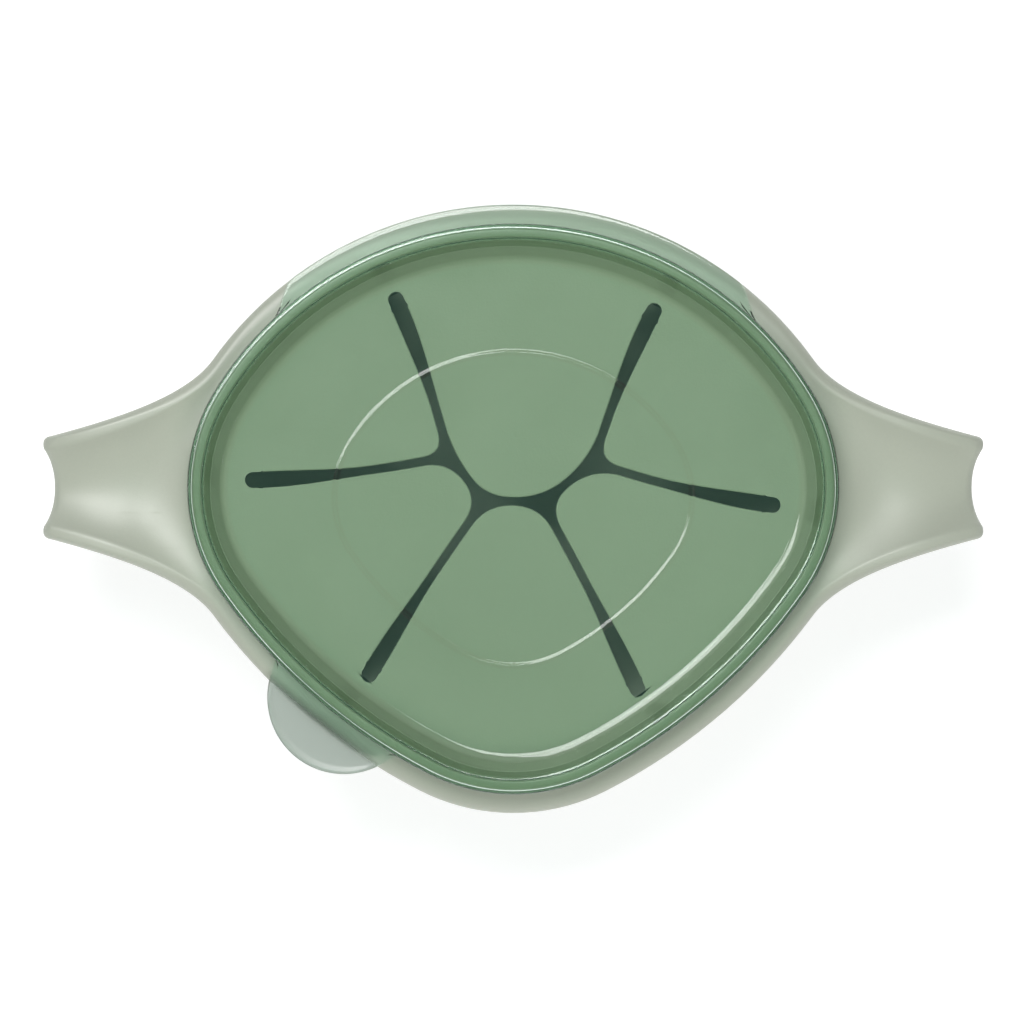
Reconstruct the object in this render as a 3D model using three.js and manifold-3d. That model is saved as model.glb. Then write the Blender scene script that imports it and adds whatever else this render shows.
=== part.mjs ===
// Suction bowl for a small child: an egg-shaped bowl with two saddle handles, a silicone
// suction base under it, a snack lid whose silicone top is slit into six flaps, and a clear cover.
// Millimetres, +Z up, +X to the right handle, +Y to the back. The origin is the middle of the
// overall outline, on the table under the suction lip.

import * as THREE from "three";
import { mergeVertices } from "three/addons/utils/BufferGeometryUtils.js";
import Module from "manifold-3d";

const wasm = await Module();
wasm.setup();

const DEGREE = Math.PI / 180;
const TURN = 2 * Math.PI;

// Driving dimensions.

// The lid's outline is an egg of six tangent arcs, narrow at the front.
const halfWidth = 75.8;
const backReach = 61.4;
const noseReach = 71.4;
const cornerRadius = 42.9;
const flankRadius = 133.8;
const noseRadius = 43.2;

// Heights of the bowl and its lids above the table.
const standHeight = 11.5;
const floorThickness = 3;
const shoulderHeight = 56.5;
const clearance = 0.3;
const shoulderGap = 0.6;

// Bowl wall and rim.
const wall = 2.2;
const wallFlare = 0.35;
const wallKnee = 0.56;
const wallFillet = 0.62;
const floorRadius = 30;
const footRadius = 40;
const footWall = 2.5;
const footBottom = 4.5;
const rimRise = 3.2;

// Shoulder band round the lid, rolled over into a skirt.
const bandWidth = 4.7;
const rollRadius = 3.4;
const skirtDrop = 3.4;
const shellThickness = 2.4;

// Handles: wings of the shoulder, hollowed across like a saddle and drooping to the tip.
const handleLength = 34.2;
const handleRoot = 30;
const handleSweep = 9.6;
const handleReach = 0.55;
const handleSpread = 4.8;
const tipHalfWidth = 12.1;
const tipSag = 2.7;
const tipRoll = 1.6;
const lipWidth = 3.1;
const tipCornerRun = 1.9;
const tipCornerWidth = 3;
const troughDepth = 5.5;
const troughRun = 15;
const troughEase = 2.2;
const droopStart = 14;
const droopSlope = 0.66;

// Clear cover: a crest, a sloped wall down to a sunk floor, and an outer skirt with a bead.
const coverThickness = 0.8;
const lidRise = 8;
const crestWidth = 3.8;
const crestRound = 1.4;
const crestEase = 0.4;
const recessRun = 3.8;
const recessDepth = 6.5;
const footEase = 0.5;
const beadReach = 0.3;
const flangeReach = 4.6;
const flangeFrom = 49 * DEGREE;
const flangeTo = 130 * DEGREE;
const flangeRamp = 3.3 * DEGREE;
const flangeCurl = 0.02;
const flangeCurlStart = 1.6;
const tabRadius = 17.9;
const tabInset = 4.15;
const tabDirection = 231.4 * DEGREE;
const tabBlend = 2.5;
const ribScale = 0.55;
const ribWidth = 1.4;
const ribHeight = 0.3;

// Snack lid: a stiff ring with a silicone dish bonded inside it.
const frameWall = 1.2;
const frameSlope = 1.4;
const frameCrest = 1.8;
const frameRound = 0.7;
const frameBond = 3;
const dishFillet = 0.8;
const dishEase = 0.6;
const siliconeThickness = 1.5;
const slitWidth = 3.7;
const slitNeck = 1.9;
const neckFrom = 4;
const neckTo = 28;
const slitInset = 12;
const sideSlitInset = 15;
const flapTipRound = 8;

// Suction base: a silicone cup with a collar round the bowl's foot.
const lipFlare = 3.7;
const lipLand = 3.2;
const collarWall = 4;
const collarTop = 12.4;
const cupRise = 2.2;
const padThickness = 2;
const pullTabLength = 15;
const pullTabWidth = 22;
const pullTabThickness = 2.4;
const pullTabLift = 0.8;

// Spacing of the facets round the egg.
const lidStep = 6;
const bowlStep = 8;

// Derived places.
const middleY = (noseReach - backReach) / 2;
const collarInner = footRadius + clearance;
const collarOuter = collarInner + collarWall;
const lipRadius = collarOuter + lipFlare;
const frameTop = shoulderHeight + lidRise;
const coverTop = frameTop + clearance + coverThickness;
const coverFloor = coverTop - recessDepth;
const siliconeTop = coverFloor - coverThickness - clearance;
const siliconeBottom = siliconeTop - siliconeThickness;
const recessLean = recessRun / (recessDepth - crestEase - footEase);
const leanStretch = Math.hypot(1, recessLean);
const rimTop = shoulderHeight + rimRise;
const rimOffset = -(coverThickness + frameWall + 2 * clearance);
const rimInner = recessFace(coverThickness + siliconeThickness + 2 * clearance)(rimTop);
const bowlFloor = standHeight + floorThickness;
const tipReach = halfWidth + handleLength;

// The egg's arc centres and the directions in which one arc hands over to the next.
const backRadius =
  (halfWidth ** 2 + backReach ** 2 - 2 * halfWidth * cornerRadius) / (2 * (backReach - cornerRadius));
const backCentre = new THREE.Vector2(0, backReach - backRadius);
const cornerCentre = new THREE.Vector2(halfWidth - cornerRadius, 0);
const noseCentre = new THREE.Vector2(0, noseRadius - noseReach);
const flankCentre = findFlankCentre();
const backJoint = directionFrom(backCentre, cornerCentre);
const flankJoint = directionFrom(flankCentre, cornerCentre);
const noseJoint = directionFrom(flankCentre, noseCentre);

// Offset of a sheet that lies a depth under the cover's recess wall, by height.
function recessFace(depth) {
  const foot = -crestWidth - recessRun + depth * leanStretch;
  return (z) => foot + (z - (coverFloor + footEase)) * recessLean;
}

function directionFrom(a, b) {
  return Math.atan2(b.y - a.y, b.x - a.x);
}

function findFlankCentre() {
  const apart = cornerCentre.distanceTo(noseCentre);
  const toCorner = flankRadius - cornerRadius;
  const toNose = flankRadius - noseRadius;
  const along = (apart ** 2 + toCorner ** 2 - toNose ** 2) / (2 * apart);
  const across = Math.sqrt(toCorner ** 2 - along ** 2);
  const step = noseCentre.clone().sub(cornerCentre).normalize();
  return new THREE.Vector2(
    cornerCentre.x + step.x * along + step.y * across,
    cornerCentre.y + step.y * along - step.x * across,
  );
}

// The arc whose edge faces a direction on the right half: its centre and its radius.
function arcFacing(direction) {
  if (direction > backJoint) return [backCentre, backRadius];
  if (direction > flankJoint) return [cornerCentre, cornerRadius];
  if (direction > noseJoint) return [flankCentre, flankRadius];
  return [noseCentre, noseRadius];
}

// The point of the lid's outline that faces a direction, moved outwards by an offset.
function outline(direction, offset = 0) {
  const cos = Math.cos(direction);
  const sin = Math.sin(direction);
  const side = cos < 0 ? -1 : 1;
  const [centre, radius] = arcFacing(Math.atan2(sin, Math.abs(cos)));
  return new THREE.Vector2(
    side * centre.x + (radius + offset) * cos,
    middleY + centre.y + (radius + offset) * sin,
  );
}

// The outline drawn in towards a circle of some radius about the origin: round 0 is the egg,
// round 1 is the circle.
function loft(direction, round, radius, offset) {
  const reach = round * radius + offset;
  return outline(direction)
    .multiplyScalar(1 - round)
    .add(new THREE.Vector2(Math.cos(direction), Math.sin(direction)).multiplyScalar(reach));
}

// Directions once round the egg, about one step of edge apart, with some spans cut finer.
function directionsRound(step, fineSpans = []) {
  const right = [noseJoint, flankJoint, backJoint];
  const stops = new Set([-90 * DEGREE, 90 * DEGREE, 270 * DEGREE]);
  for (const joint of right) stops.add(joint).add(Math.PI - joint);
  for (const span of fineSpans) stops.add(span.from).add(span.to);
  const sorted = [...stops].sort((a, b) => a - b);
  const directions = [];
  for (let i = 0; i + 1 < sorted.length; i++) {
    const [from, to] = [sorted[i], sorted[i + 1]];
    const middle = (from + to) / 2;
    const fine = fineSpans.find((span) => span.from < middle && middle < span.to);
    const radius = arcFacing(Math.atan2(Math.sin(middle), Math.abs(Math.cos(middle))))[1];
    const even = ((to - from) * radius) / step;
    const count = Math.ceil(fine ? ((to - from) / (fine.to - fine.from)) * fine.count : even);
    for (let j = 0; j < count; j++) directions.push(from + ((to - from) * j) / count);
  }
  return directions;
}

// A closed body of rings: a lathe whose every ring follows its own outline. Each station is a
// function from a direction to a point; the stations run up the outside and down the inside.
function ringBody(stations, directions) {
  const count = directions.length;
  const profile = stations.map((_, i) => new THREE.Vector2(1, i));
  const geometry = new THREE.LatheGeometry(profile, count);
  const position = geometry.getAttribute("position");
  for (let i = 0; i <= count; i++) {
    stations.forEach((station, j) => {
      const point = station(directions[i % count]);
      position.setXYZ(i * stations.length + j, point.x, point.y, point.z);
    });
  }
  return tidy(geometry);
}

// Only shared positions, no degenerate triangles.
function tidy(geometry) {
  geometry.deleteAttribute("normal");
  geometry.deleteAttribute("uv");
  const merged = mergeVertices(geometry, 1e-4);
  const index = merged.index.array;
  const kept = [];
  for (let i = 0; i < index.length; i += 3) {
    const [a, b, c] = [index[i], index[i + 1], index[i + 2]];
    if (a !== b && b !== c && c !== a) kept.push(a, b, c);
  }
  merged.setIndex(kept);
  return merged;
}

// A ring at one height: a loft of the outline.
function ring(round, radius, offset, z) {
  return (direction) => {
    const flat = loft(direction, round, radius, offset);
    return new THREE.Vector3(flat.x, flat.y, z);
  };
}

const lidRing = (offset, z) => ring(0, 0, offset, z);
const circle = (radius, z) => ring(1, radius, 0, z);

function solid(geometry) {
  const clean = tidy(geometry.index ? geometry.clone() : geometry);
  return new wasm.Manifold(
    new wasm.Mesh({
      numProp: 3,
      vertProperties: clean.getAttribute("position").array,
      triVerts: new Uint32Array(clean.index.array),
    }),
  );
}

function geometryOf(body) {
  const { vertProperties, triVerts } = body.getMesh();
  const geometry = new THREE.BufferGeometry();
  geometry.setAttribute("position", new THREE.BufferAttribute(vertProperties, 3));
  geometry.setIndex(new THREE.BufferAttribute(triVerts, 1));
  return geometry;
}

function extruded(points, thickness, z) {
  const shape = new THREE.Shape(points);
  const settings = { depth: thickness, bevelEnabled: false, curveSegments: 1 };
  return new THREE.ExtrudeGeometry(shape, settings).translate(0, 0, z);
}

// Handles.

// The direction at which the shoulder's edge stands a given distance before or behind the
// widest line, on the right side.
function directionAt(distance) {
  let [low, high] = [-80 * DEGREE, 80 * DEGREE];
  for (let i = 0; i < 40; i++) {
    const middle = (low + high) / 2;
    if (outline(middle, bandWidth).y - middleY < distance) low = middle;
    else high = middle;
  }
  return (low + high) / 2;
}

const handleBack = directionAt(handleRoot);
const handleFront = directionAt(-handleRoot);
const cornerFrom = 11 * DEGREE;
const cornerTo = 7 * DEGREE;

// One edge of the right handle, from its root on the shoulder to its tip corner.
function handleSide(rootDirection) {
  const root = outline(rootDirection, bandWidth);
  const sign = Math.sign(rootDirection);
  const across = -sign * Math.cos(rootDirection);
  const along = new THREE.Vector2(Math.abs(Math.sin(rootDirection)), across);
  const end = new THREE.Vector2(tipReach - tipCornerRun, middleY + sign * tipHalfWidth);
  const leave = root.clone().addScaledVector(along, handleSweep);
  const arrive = new THREE.Vector2(end.x - handleReach * handleLength, end.y + sign * handleSpread);
  return new THREE.CubicBezierCurve(root, leave, arrive, end);
}

function tipCorner(sign) {
  return new THREE.QuadraticBezierCurve(
    new THREE.Vector2(tipReach - tipCornerRun, middleY + sign * tipHalfWidth),
    new THREE.Vector2(tipReach + 0.5, middleY + sign * (tipHalfWidth - 0.4)),
    new THREE.Vector2(tipReach - 0.3, middleY + sign * (tipHalfWidth - tipCornerWidth)),
  );
}

function tipEnd(sign) {
  const half = tipHalfWidth - tipCornerWidth;
  return new THREE.QuadraticBezierCurve(
    new THREE.Vector2(tipReach - 0.3, middleY + sign * half),
    new THREE.Vector2(tipReach - tipSag, middleY + sign * half * 0.6),
    new THREE.Vector2(tipReach - tipSag, middleY),
  );
}

const backSide = handleSide(handleBack);
const frontSide = handleSide(handleFront);

// The outer edge of the shoulder and its handles, for a direction.
function edge(direction) {
  const side = Math.cos(direction) < 0 ? -1 : 1;
  const facing = Math.atan2(Math.sin(direction), Math.abs(Math.cos(direction)));
  if (facing > handleBack || facing < handleFront) return outline(direction, bandWidth);
  const sign = facing < 0 ? -1 : 1;
  const root = sign > 0 ? handleBack : handleFront;
  const away = Math.abs(facing);
  let point;
  if (away > cornerFrom) {
    const curve = sign > 0 ? backSide : frontSide;
    point = curve.getPoint((Math.abs(root) - away) / (Math.abs(root) - cornerFrom));
  } else if (away > cornerTo) {
    point = tipCorner(sign).getPoint((cornerFrom - away) / (cornerFrom - cornerTo));
  } else {
    point = tipEnd(sign).getPoint(1 - away / cornerTo);
  }
  return new THREE.Vector2(side * point.x, point.y);
}

// Half the handle's width at a distance from the middle plane.
const sideSamples = backSide.getPoints(60);
function handleHalfWidth(reach) {
  const next = sideSamples.findIndex((sample) => sample.x > reach);
  if (next === 0) return handleRoot + (sideSamples[0].x - reach) / Math.tan(handleBack);
  if (next < 0) return tipHalfWidth;
  const [a, b] = [sideSamples[next - 1], sideSamples[next]];
  return THREE.MathUtils.mapLinear(reach, a.x, b.x, a.y, b.y) - middleY;
}

// How far the handle's top lies under the shoulder.
function saddle(x, y, run) {
  const inner = handleHalfWidth(Math.abs(x)) - lipWidth;
  const across = Math.min(1, Math.abs(y - middleY) / inner);
  const grown = 1 - (1 - THREE.MathUtils.clamp(run / troughRun, 0, 1)) ** troughEase;
  const beyond = Math.max(0, Math.abs(x) - halfWidth - droopStart);
  const droop = (droopSlope * beyond ** 2) / (2 * (handleLength - droopStart));
  return troughDepth * grown * (1 - across ** 2) + droop;
}

// The roll along the edge, smaller across the handle's end.
function rollAt(direction) {
  const facing = Math.abs(Math.atan2(Math.sin(direction), Math.abs(Math.cos(direction))));
  const share = THREE.MathUtils.smoothstep(facing, cornerTo - 2 * DEGREE, cornerFrom + 2 * DEGREE);
  return tipRoll + (rollRadius - tipRoll) * share;
}

const shoulderStart = rimOffset + 0.2;

// A point of the shoulder or handle, a distance in from its edge or a share of the way from
// the edge's roll to the rim; lowered sinks it, and follow keeps it parallel to the top.
function shoulderPoint(direction, inset, share, lowered) {
  const start = outline(direction, shoulderStart);
  const end = edge(direction);
  const length = start.distanceTo(end);
  const roll = rollAt(direction);
  const fromEdge = inset * roll + share * (length - inset * roll);
  const spot = end.clone().lerp(start, fromEdge / length);
  const rolled = fromEdge < roll ? roll - Math.sqrt(roll ** 2 - (roll - fromEdge) ** 2) : 0;
  const sunk = saddle(spot.x, spot.y, length - fromEdge);
  return new THREE.Vector3(spot.x, spot.y, shoulderHeight - sunk - rolled - lowered);
}

const shoulderTop = (inset, share) => (direction) => shoulderPoint(direction, inset, share, 0);
const shoulderUnder = (inset, share) => (direction) =>
  shoulderPoint(direction, inset, share, shellThickness);

// The skirt's lower edge, a distance in from the outer edge.
function skirtFoot(inset) {
  return (direction) => {
    const top = shoulderPoint(direction, 0, 0, 0);
    const start = outline(direction, shoulderStart);
    const end = edge(direction);
    const spot = end.clone().lerp(start, inset / start.distanceTo(end));
    return new THREE.Vector3(spot.x, spot.y, top.z - skirtDrop);
  };
}

// Bowl wall: how far the loft has rounded and how high it is, from rim to floor.
const wallTop = siliconeBottom - 0.1;
const wallTopOffset = rimInner - (rimTop - wallTop) * recessLean;
const wallCurve = new THREE.CubicBezierCurve(
  new THREE.Vector2(0, wallTop),
  new THREE.Vector2(wallFlare, bowlFloor + wallKnee * (wallTop - bowlFloor)),
  new THREE.Vector2(wallFillet, bowlFloor),
  new THREE.Vector2(1, bowlFloor),
);

function innerWall(share) {
  const { x: round, y: z } = wallCurve.getPoint(share);
  return ring(round, floorRadius, wallTopOffset * (1 - share), z);
}

function outerWall(share) {
  const { x: round, y: z } = wallCurve.getPoint(share);
  const offset = wallTopOffset * (1 - share) + wall * (1 - share ** 2);
  return ring(round, floorRadius, offset, z - floorThickness * share ** 2);
}

function bowl() {
  const stations = [
    circle(0, standHeight),
    circle(footRadius - footWall, standHeight),
    circle(footRadius - footWall, footBottom),
    circle(footRadius, footBottom),
    circle(footRadius, collarTop + 1),
    outerWall(0.64),
    outerWall(0.48),
    outerWall(0.32),
    outerWall(0.17),
    shoulderUnder(1, 1),
    shoulderUnder(1, 0.75),
    shoulderUnder(1, 0.5),
    shoulderUnder(1, 0.25),
    shoulderUnder(1, 0),
    skirtFoot(1.6),
    skirtFoot(0),
    shoulderTop(0, 0),
    shoulderTop(0.15, 0),
    shoulderTop(0.5, 0),
    shoulderTop(1, 0),
    shoulderTop(1, 0.2),
    shoulderTop(1, 0.4),
    shoulderTop(1, 0.6),
    shoulderTop(1, 0.8),
    shoulderTop(1, 1),
    lidRing(rimOffset, rimTop - 0.3),
    lidRing(rimOffset - 0.3, rimTop),
    lidRing(rimInner, rimTop),
    innerWall(0),
    innerWall(0.17),
    innerWall(0.33),
    innerWall(0.5),
    innerWall(0.66),
    innerWall(0.8),
    innerWall(0.9),
    innerWall(1),
    circle(0, bowlFloor),
  ];
  const spans = [0, Math.PI].flatMap((turn) => {
    const mirrored = (direction) => (turn ? Math.PI - direction : direction);
    const limits = [handleFront, -cornerFrom, -cornerTo, cornerTo, cornerFrom, handleBack].map(mirrored);
    const counts = [9, 3, 6, 3, 9];
    return counts.map((count, i) => {
      const [from, to] = [limits[i], limits[i + 1]].sort((a, b) => a - b);
      return { from, to, count };
    });
  });
  return ringBody(stations, directionsRound(bowlStep, spans));
}

// Suction base and its pull tab.

function suctionBase() {
  const profile = [
    [0, cupRise],
    [lipRadius - lipLand - 6, cupRise * 0.7],
    [lipRadius - lipLand, 0],
    [lipRadius, 0],
    [lipRadius, 1.2],
    [collarOuter + 0.6, 4],
    [collarOuter, collarTop - 1.4],
    [collarOuter - 1.2, collarTop],
    [collarInner, collarTop],
    [collarInner, footBottom - clearance],
    [footRadius - footWall - clearance, footBottom - clearance],
    [footRadius - footWall - clearance, standHeight - clearance - 1],
    [footRadius - footWall - clearance - collarWall + 1, standHeight - clearance - 1],
    [footRadius - footWall - clearance - collarWall, footBottom - clearance],
    [0, cupRise + padThickness],
  ].map(([radius, z]) => new THREE.Vector2(radius, z));
  const geometry = new THREE.LatheGeometry(profile, 56).rotateX(Math.PI / 2);
  return tidy(geometry);
}

// A tongue on the front of the suction lip: square at its root, round at its end.
function pullTab() {
  const round = pullTabWidth / 2;
  const root = -lipRadius - clearance;
  const shape = new THREE.Shape();
  shape.moveTo(-round, root);
  shape.lineTo(-round, root - pullTabLength + round);
  shape.absarc(0, root - pullTabLength + round, round, Math.PI, TURN, false);
  shape.lineTo(round, root);
  const settings = { depth: pullTabThickness, bevelEnabled: false, curveSegments: 10 };
  return tidy(new THREE.ExtrudeGeometry(shape, settings).translate(0, 0, pullTabLift));
}

// Snack lid: the stiff ring.

function lidFrame() {
  const outer = -(coverThickness + clearance);
  const inner = recessFace(coverThickness + clearance);
  const back = recessFace(coverThickness + clearance + frameSlope);
  const inside = outer - frameWall;
  const bottom = shoulderHeight + clearance;
  const bond = frameTop - frameBond;
  const underCrest = frameTop - frameCrest;
  return ringBody(
    [
      lidRing(inside, bottom),
      lidRing(outer, bottom),
      lidRing(outer, frameTop - frameRound),
      lidRing(outer - frameRound, frameTop),
      lidRing(inner(frameTop), frameTop),
      lidRing(inner(bond), bond),
      lidRing(back(bond), bond),
      lidRing(Math.min(back(underCrest), inside - 0.1), underCrest),
      lidRing(inside, underCrest - 0.4),
      lidRing(inside, bottom),
    ],
    directionsRound(lidStep),
  );
}

// The silicone dish before its slits are cut: a sloped wall and a flat floor.
function siliconeDish() {
  const face = recessFace(coverThickness + clearance);
  const back = recessFace(coverThickness + clearance + siliconeThickness);
  const top = frameTop - frameBond - clearance;
  return ringBody(
    [
      circle(0, siliconeBottom),
      ring(0.5, 0, 0, siliconeBottom),
      lidRing(back(siliconeBottom) - dishEase, siliconeBottom),
      lidRing(back(siliconeBottom + dishFillet), siliconeBottom + dishFillet),
      lidRing(back(top), top),
      lidRing(face(top), top),
      lidRing(face(siliconeTop + dishFillet), siliconeTop + dishFillet),
      lidRing(face(siliconeTop) - dishEase, siliconeTop),
      ring(0.5, 0, 0, siliconeTop),
      circle(0, siliconeTop),
    ],
    directionsRound(lidStep),
  );
}

// The slits branch from four junctions near the middle. Each arm runs to its own round end.
const junctions = [
  [-14.3, 6.8],
  [-7, -3],
  [7, -3.4],
  [17.9, 5.4],
].map(([x, y]) => new THREE.Vector2(x, middleY + y));

const slits = {
  right: { facing: -8.4, inset: sideSlitInset, joins: 3, bow: 1.5 },
  backRight: { facing: 61.8, inset: slitInset, joins: 3, bow: -1.2 },
  backLeft: { facing: 113.2, inset: slitInset, joins: 0, bow: 1.2 },
  left: { facing: 176.4, inset: sideSlitInset, joins: 0, bow: -1.5 },
  frontLeft: { facing: 232, inset: slitInset, joins: 1, bow: 0.8 },
  frontRight: { facing: 305.3, inset: slitInset, joins: 2, bow: -0.8 },
};
for (const slit of Object.values(slits)) slit.end = outline(slit.facing * DEGREE, -slit.inset);

// The six flaps, each between two slits, in order round the star.
const flaps = [
  ["flap_right_back", slits.right, slits.backRight],
  ["flap_back", slits.backRight, slits.backLeft],
  ["flap_left_back", slits.backLeft, slits.left],
  ["flap_left_front", slits.left, slits.frontLeft],
  ["flap_front", slits.frontLeft, slits.frontRight],
  ["flap_right_front", slits.frontRight, slits.right],
];

// The line down the middle of the slits from one slit's end to the next one's, rounded at
// every junction, with the slit's half width at each point.
function slitPath(from, to) {
  const step = Math.sign(to.joins - from.joins);
  const corners = [from.end];
  for (let i = from.joins; ; i += step) {
    corners.push(junctions[i]);
    if (i === to.joins) break;
  }
  corners.push(to.end);
  const path = new THREE.CurvePath();
  let last = corners[0];
  for (let i = 1; i < corners.length - 1; i++) {
    const [before, corner, after] = [corners[i - 1], corners[i], corners[i + 1]];
    const short = Math.min(before.distanceTo(corner), corner.distanceTo(after)) / 2;
    const round = Math.min(flapTipRound, short);
    const start = corner.clone().lerp(before, round / corner.distanceTo(before));
    const end = corner.clone().lerp(after, round / corner.distanceTo(after));
    const bow = i === 1 ? from.bow : 0;
    if (start.distanceTo(last) > 0.01) path.add(bowed(last, start, bow));
    path.add(new THREE.QuadraticBezierCurve(start, corner, end));
    last = end;
  }
  path.add(bowed(last, to.end, -to.bow));
  return path;
}

function bowed(a, b, bow) {
  const along = b.clone().sub(a).normalize();
  const aside = new THREE.Vector2(-along.y, along.x).multiplyScalar(bow);
  return new THREE.QuadraticBezierCurve(a, a.clone().lerp(b, 0.5).add(aside), b);
}

// A flap's outline: along its two slits, then straight across its root, which lies on the
// line between the two slits' ends.
function flapOutline(from, to) {
  const points = [];
  const rootFacing = directionFrom(from.end, to.end) - Math.PI / 2;
  const outwards = new THREE.Vector2(Math.cos(rootFacing), Math.sin(rootFacing));
  for (const curve of slitPath(from, to).curves) {
    const count = Math.max(3, Math.round(curve.getLength() / 5));
    for (let i = 0; i <= count; i++) {
      const centre = curve.getPoint(i / count);
      const tangent = curve.getTangent(i / count);
      const away = Math.min(centre.distanceTo(from.end), centre.distanceTo(to.end));
      const share = THREE.MathUtils.smoothstep(away, neckFrom, neckTo);
      const half = THREE.MathUtils.lerp(slitWidth, slitNeck, share) / 2;
      const point = centre.addScaledVector(new THREE.Vector2(tangent.y, -tangent.x), half);
      point.addScaledVector(outwards, -Math.max(0, point.clone().sub(from.end).dot(outwards)));
      if (!points.length || point.distanceTo(points.at(-1)) > 0.5) points.push(point);
    }
  }
  return points;
}

// The hole for the flaps: straight between neighbouring slit ends, round about each end.
function flapHole() {
  const shape = new THREE.Shape();
  const ends = flaps.map(([, from]) => from.end);
  ends.forEach((end, i) => {
    const before = ends.at(i - 1);
    const after = ends[(i + 1) % ends.length];
    const outFrom = directionFrom(before, end) - Math.PI / 2;
    const outTo = directionFrom(end, after) - Math.PI / 2;
    const turn = ((outTo - outFrom) % TURN + TURN) % TURN;
    for (let j = 0; j <= 8; j++) {
      const angle = outFrom + (turn * j) / 8;
      const reach = j === 0 || j === 8 ? clearance : slitWidth / 2;
      const spot = new THREE.Vector2(Math.cos(angle), Math.sin(angle)).multiplyScalar(reach).add(end);
      if (i + j === 0) shape.moveTo(spot.x, spot.y);
      else shape.lineTo(spot.x, spot.y);
    }
  });
  const settings = { depth: siliconeThickness + 2, bevelEnabled: false };
  return new THREE.ExtrudeGeometry(shape, settings).translate(0, 0, siliconeBottom - 1);
}

function lidMembrane() {
  return geometryOf(solid(siliconeDish()).subtract(solid(flapHole())));
}

// Clear cover.

function softMax(a, b, reach) {
  const blend = Math.max(0, reach - Math.abs(a - b)) / reach;
  return Math.max(a, b) + (blend ** 2 * reach) / 4;
}

// How far the cover's lower edge reaches beyond the lid's outline.
function coverReach(direction) {
  const turned = THREE.MathUtils.euclideanModulo(direction, TURN);
  const grow = (at) => THREE.MathUtils.smoothstep(turned, at - flangeRamp, at + flangeRamp);
  const rise = grow(flangeFrom);
  const fall = 1 - grow(flangeTo);
  const back = beadReach + (flangeReach - beadReach) * Math.min(rise, fall);
  const centre = outline(tabDirection, -tabInset);
  const foot = outline(direction);
  const facing = new THREE.Vector2(Math.cos(direction), Math.sin(direction));
  const along = centre.clone().sub(foot).dot(facing);
  const across = centre.distanceTo(foot.clone().addScaledVector(facing, along));
  const tab = across < tabRadius ? along + Math.sqrt(tabRadius ** 2 - across ** 2) : -tabRadius;
  return softMax(back, tab, tabBlend);
}

// The cover's lower edge curls down over the shoulder's roll at the back; the tab stays flat.
function coverEdge(share, z) {
  return (direction) => {
    const reach = coverReach(direction) * share;
    const flat = outline(direction, reach);
    const curled = Math.sin(direction) > 0 ? Math.max(0, reach - flangeCurlStart) : 0;
    return new THREE.Vector3(flat.x, flat.y, z - curled ** 2 * flangeCurl);
  };
}

function clearCover() {
  const underEdge = shoulderHeight + shoulderGap;
  const overEdge = underEdge + coverThickness;
  const face = recessFace(0);
  const back = recessFace(coverThickness);
  const underCrest = coverTop - coverThickness;
  const ribAt = (share) => coverFloor + ribHeight * (1 - 4 * share ** 2);
  const rib = (share) => ring(1 - ribScale, 0, share * ribWidth, ribAt(share));
  const tabSpan = { from: tabDirection - 9 * DEGREE, to: tabDirection + 9 * DEGREE, count: 20 };
  return ringBody(
    [
      circle(0, coverFloor - coverThickness),
      ring(1 - ribScale, 0, 0, coverFloor - coverThickness),
      lidRing(back(coverFloor - coverThickness) - 0.6, coverFloor - coverThickness),
      lidRing(back(coverFloor - 0.3), coverFloor - 0.3),
      lidRing(back(underCrest), underCrest),
      lidRing(-coverThickness - 0.6, underCrest),
      lidRing(-coverThickness, underCrest - 0.6),
      lidRing(-coverThickness, underEdge),
      coverEdge(0.5, underEdge),
      coverEdge(1, underEdge),
      coverEdge(1, overEdge),
      coverEdge(0.5, overEdge),
      lidRing(0, overEdge + 0.3),
      lidRing(0, coverTop - crestRound),
      lidRing(-0.4, coverTop - 0.4),
      lidRing(-crestRound, coverTop),
      lidRing(-crestWidth + 0.7, coverTop),
      lidRing(-crestWidth, coverTop - crestEase),
      lidRing(face(coverFloor + footEase), coverFloor + footEase),
      lidRing(face(coverFloor + footEase) - 1, coverFloor),
      rib(0.5),
      rib(0),
      rib(-0.5),
      circle(0, coverFloor),
    ],
    directionsRound(lidStep, [tabSpan]),
  );
}

// Materials and assembly.

const plastic = (color, roughness) => new THREE.MeshStandardMaterial({ color, roughness, metalness: 0 });
const sagePlastic = plastic(0xbcc4b4, 0.42);
const greenPlastic = plastic(0x8fb08f, 0.4);
const greenSilicone = plastic(0x86a284, 0.62);
const clearPlastic = new THREE.MeshStandardMaterial({
  color: 0xdfe6df,
  roughness: 0.16,
  metalness: 0,
  transparent: true,
  opacity: 0.45,
});

const object = new THREE.Group();

function place(name, geometry, material, parent = object) {
  const mesh = new THREE.Mesh(geometry, material);
  mesh.name = name;
  parent.add(mesh);
}

place("suction_base", suctionBase(), greenSilicone);
place("release_tab", pullTab(), greenSilicone);
place("bowl", bowl(), sagePlastic);

const snackLid = new THREE.Group();
place("lid_frame", lidFrame(), greenPlastic, snackLid);
place("lid_membrane", lidMembrane(), greenSilicone, snackLid);
for (const [name, from, to] of flaps) {
  const points = flapOutline(from, to);
  place(name, tidy(extruded(points, siliconeThickness, siliconeBottom)), greenSilicone, snackLid);
}
object.add(snackLid);

place("clear_cover", clearCover(), clearPlastic);

export default object;
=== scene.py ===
"""Suction bowl: the visible surfaces round the packed model, laid out as an add-on."""

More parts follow.
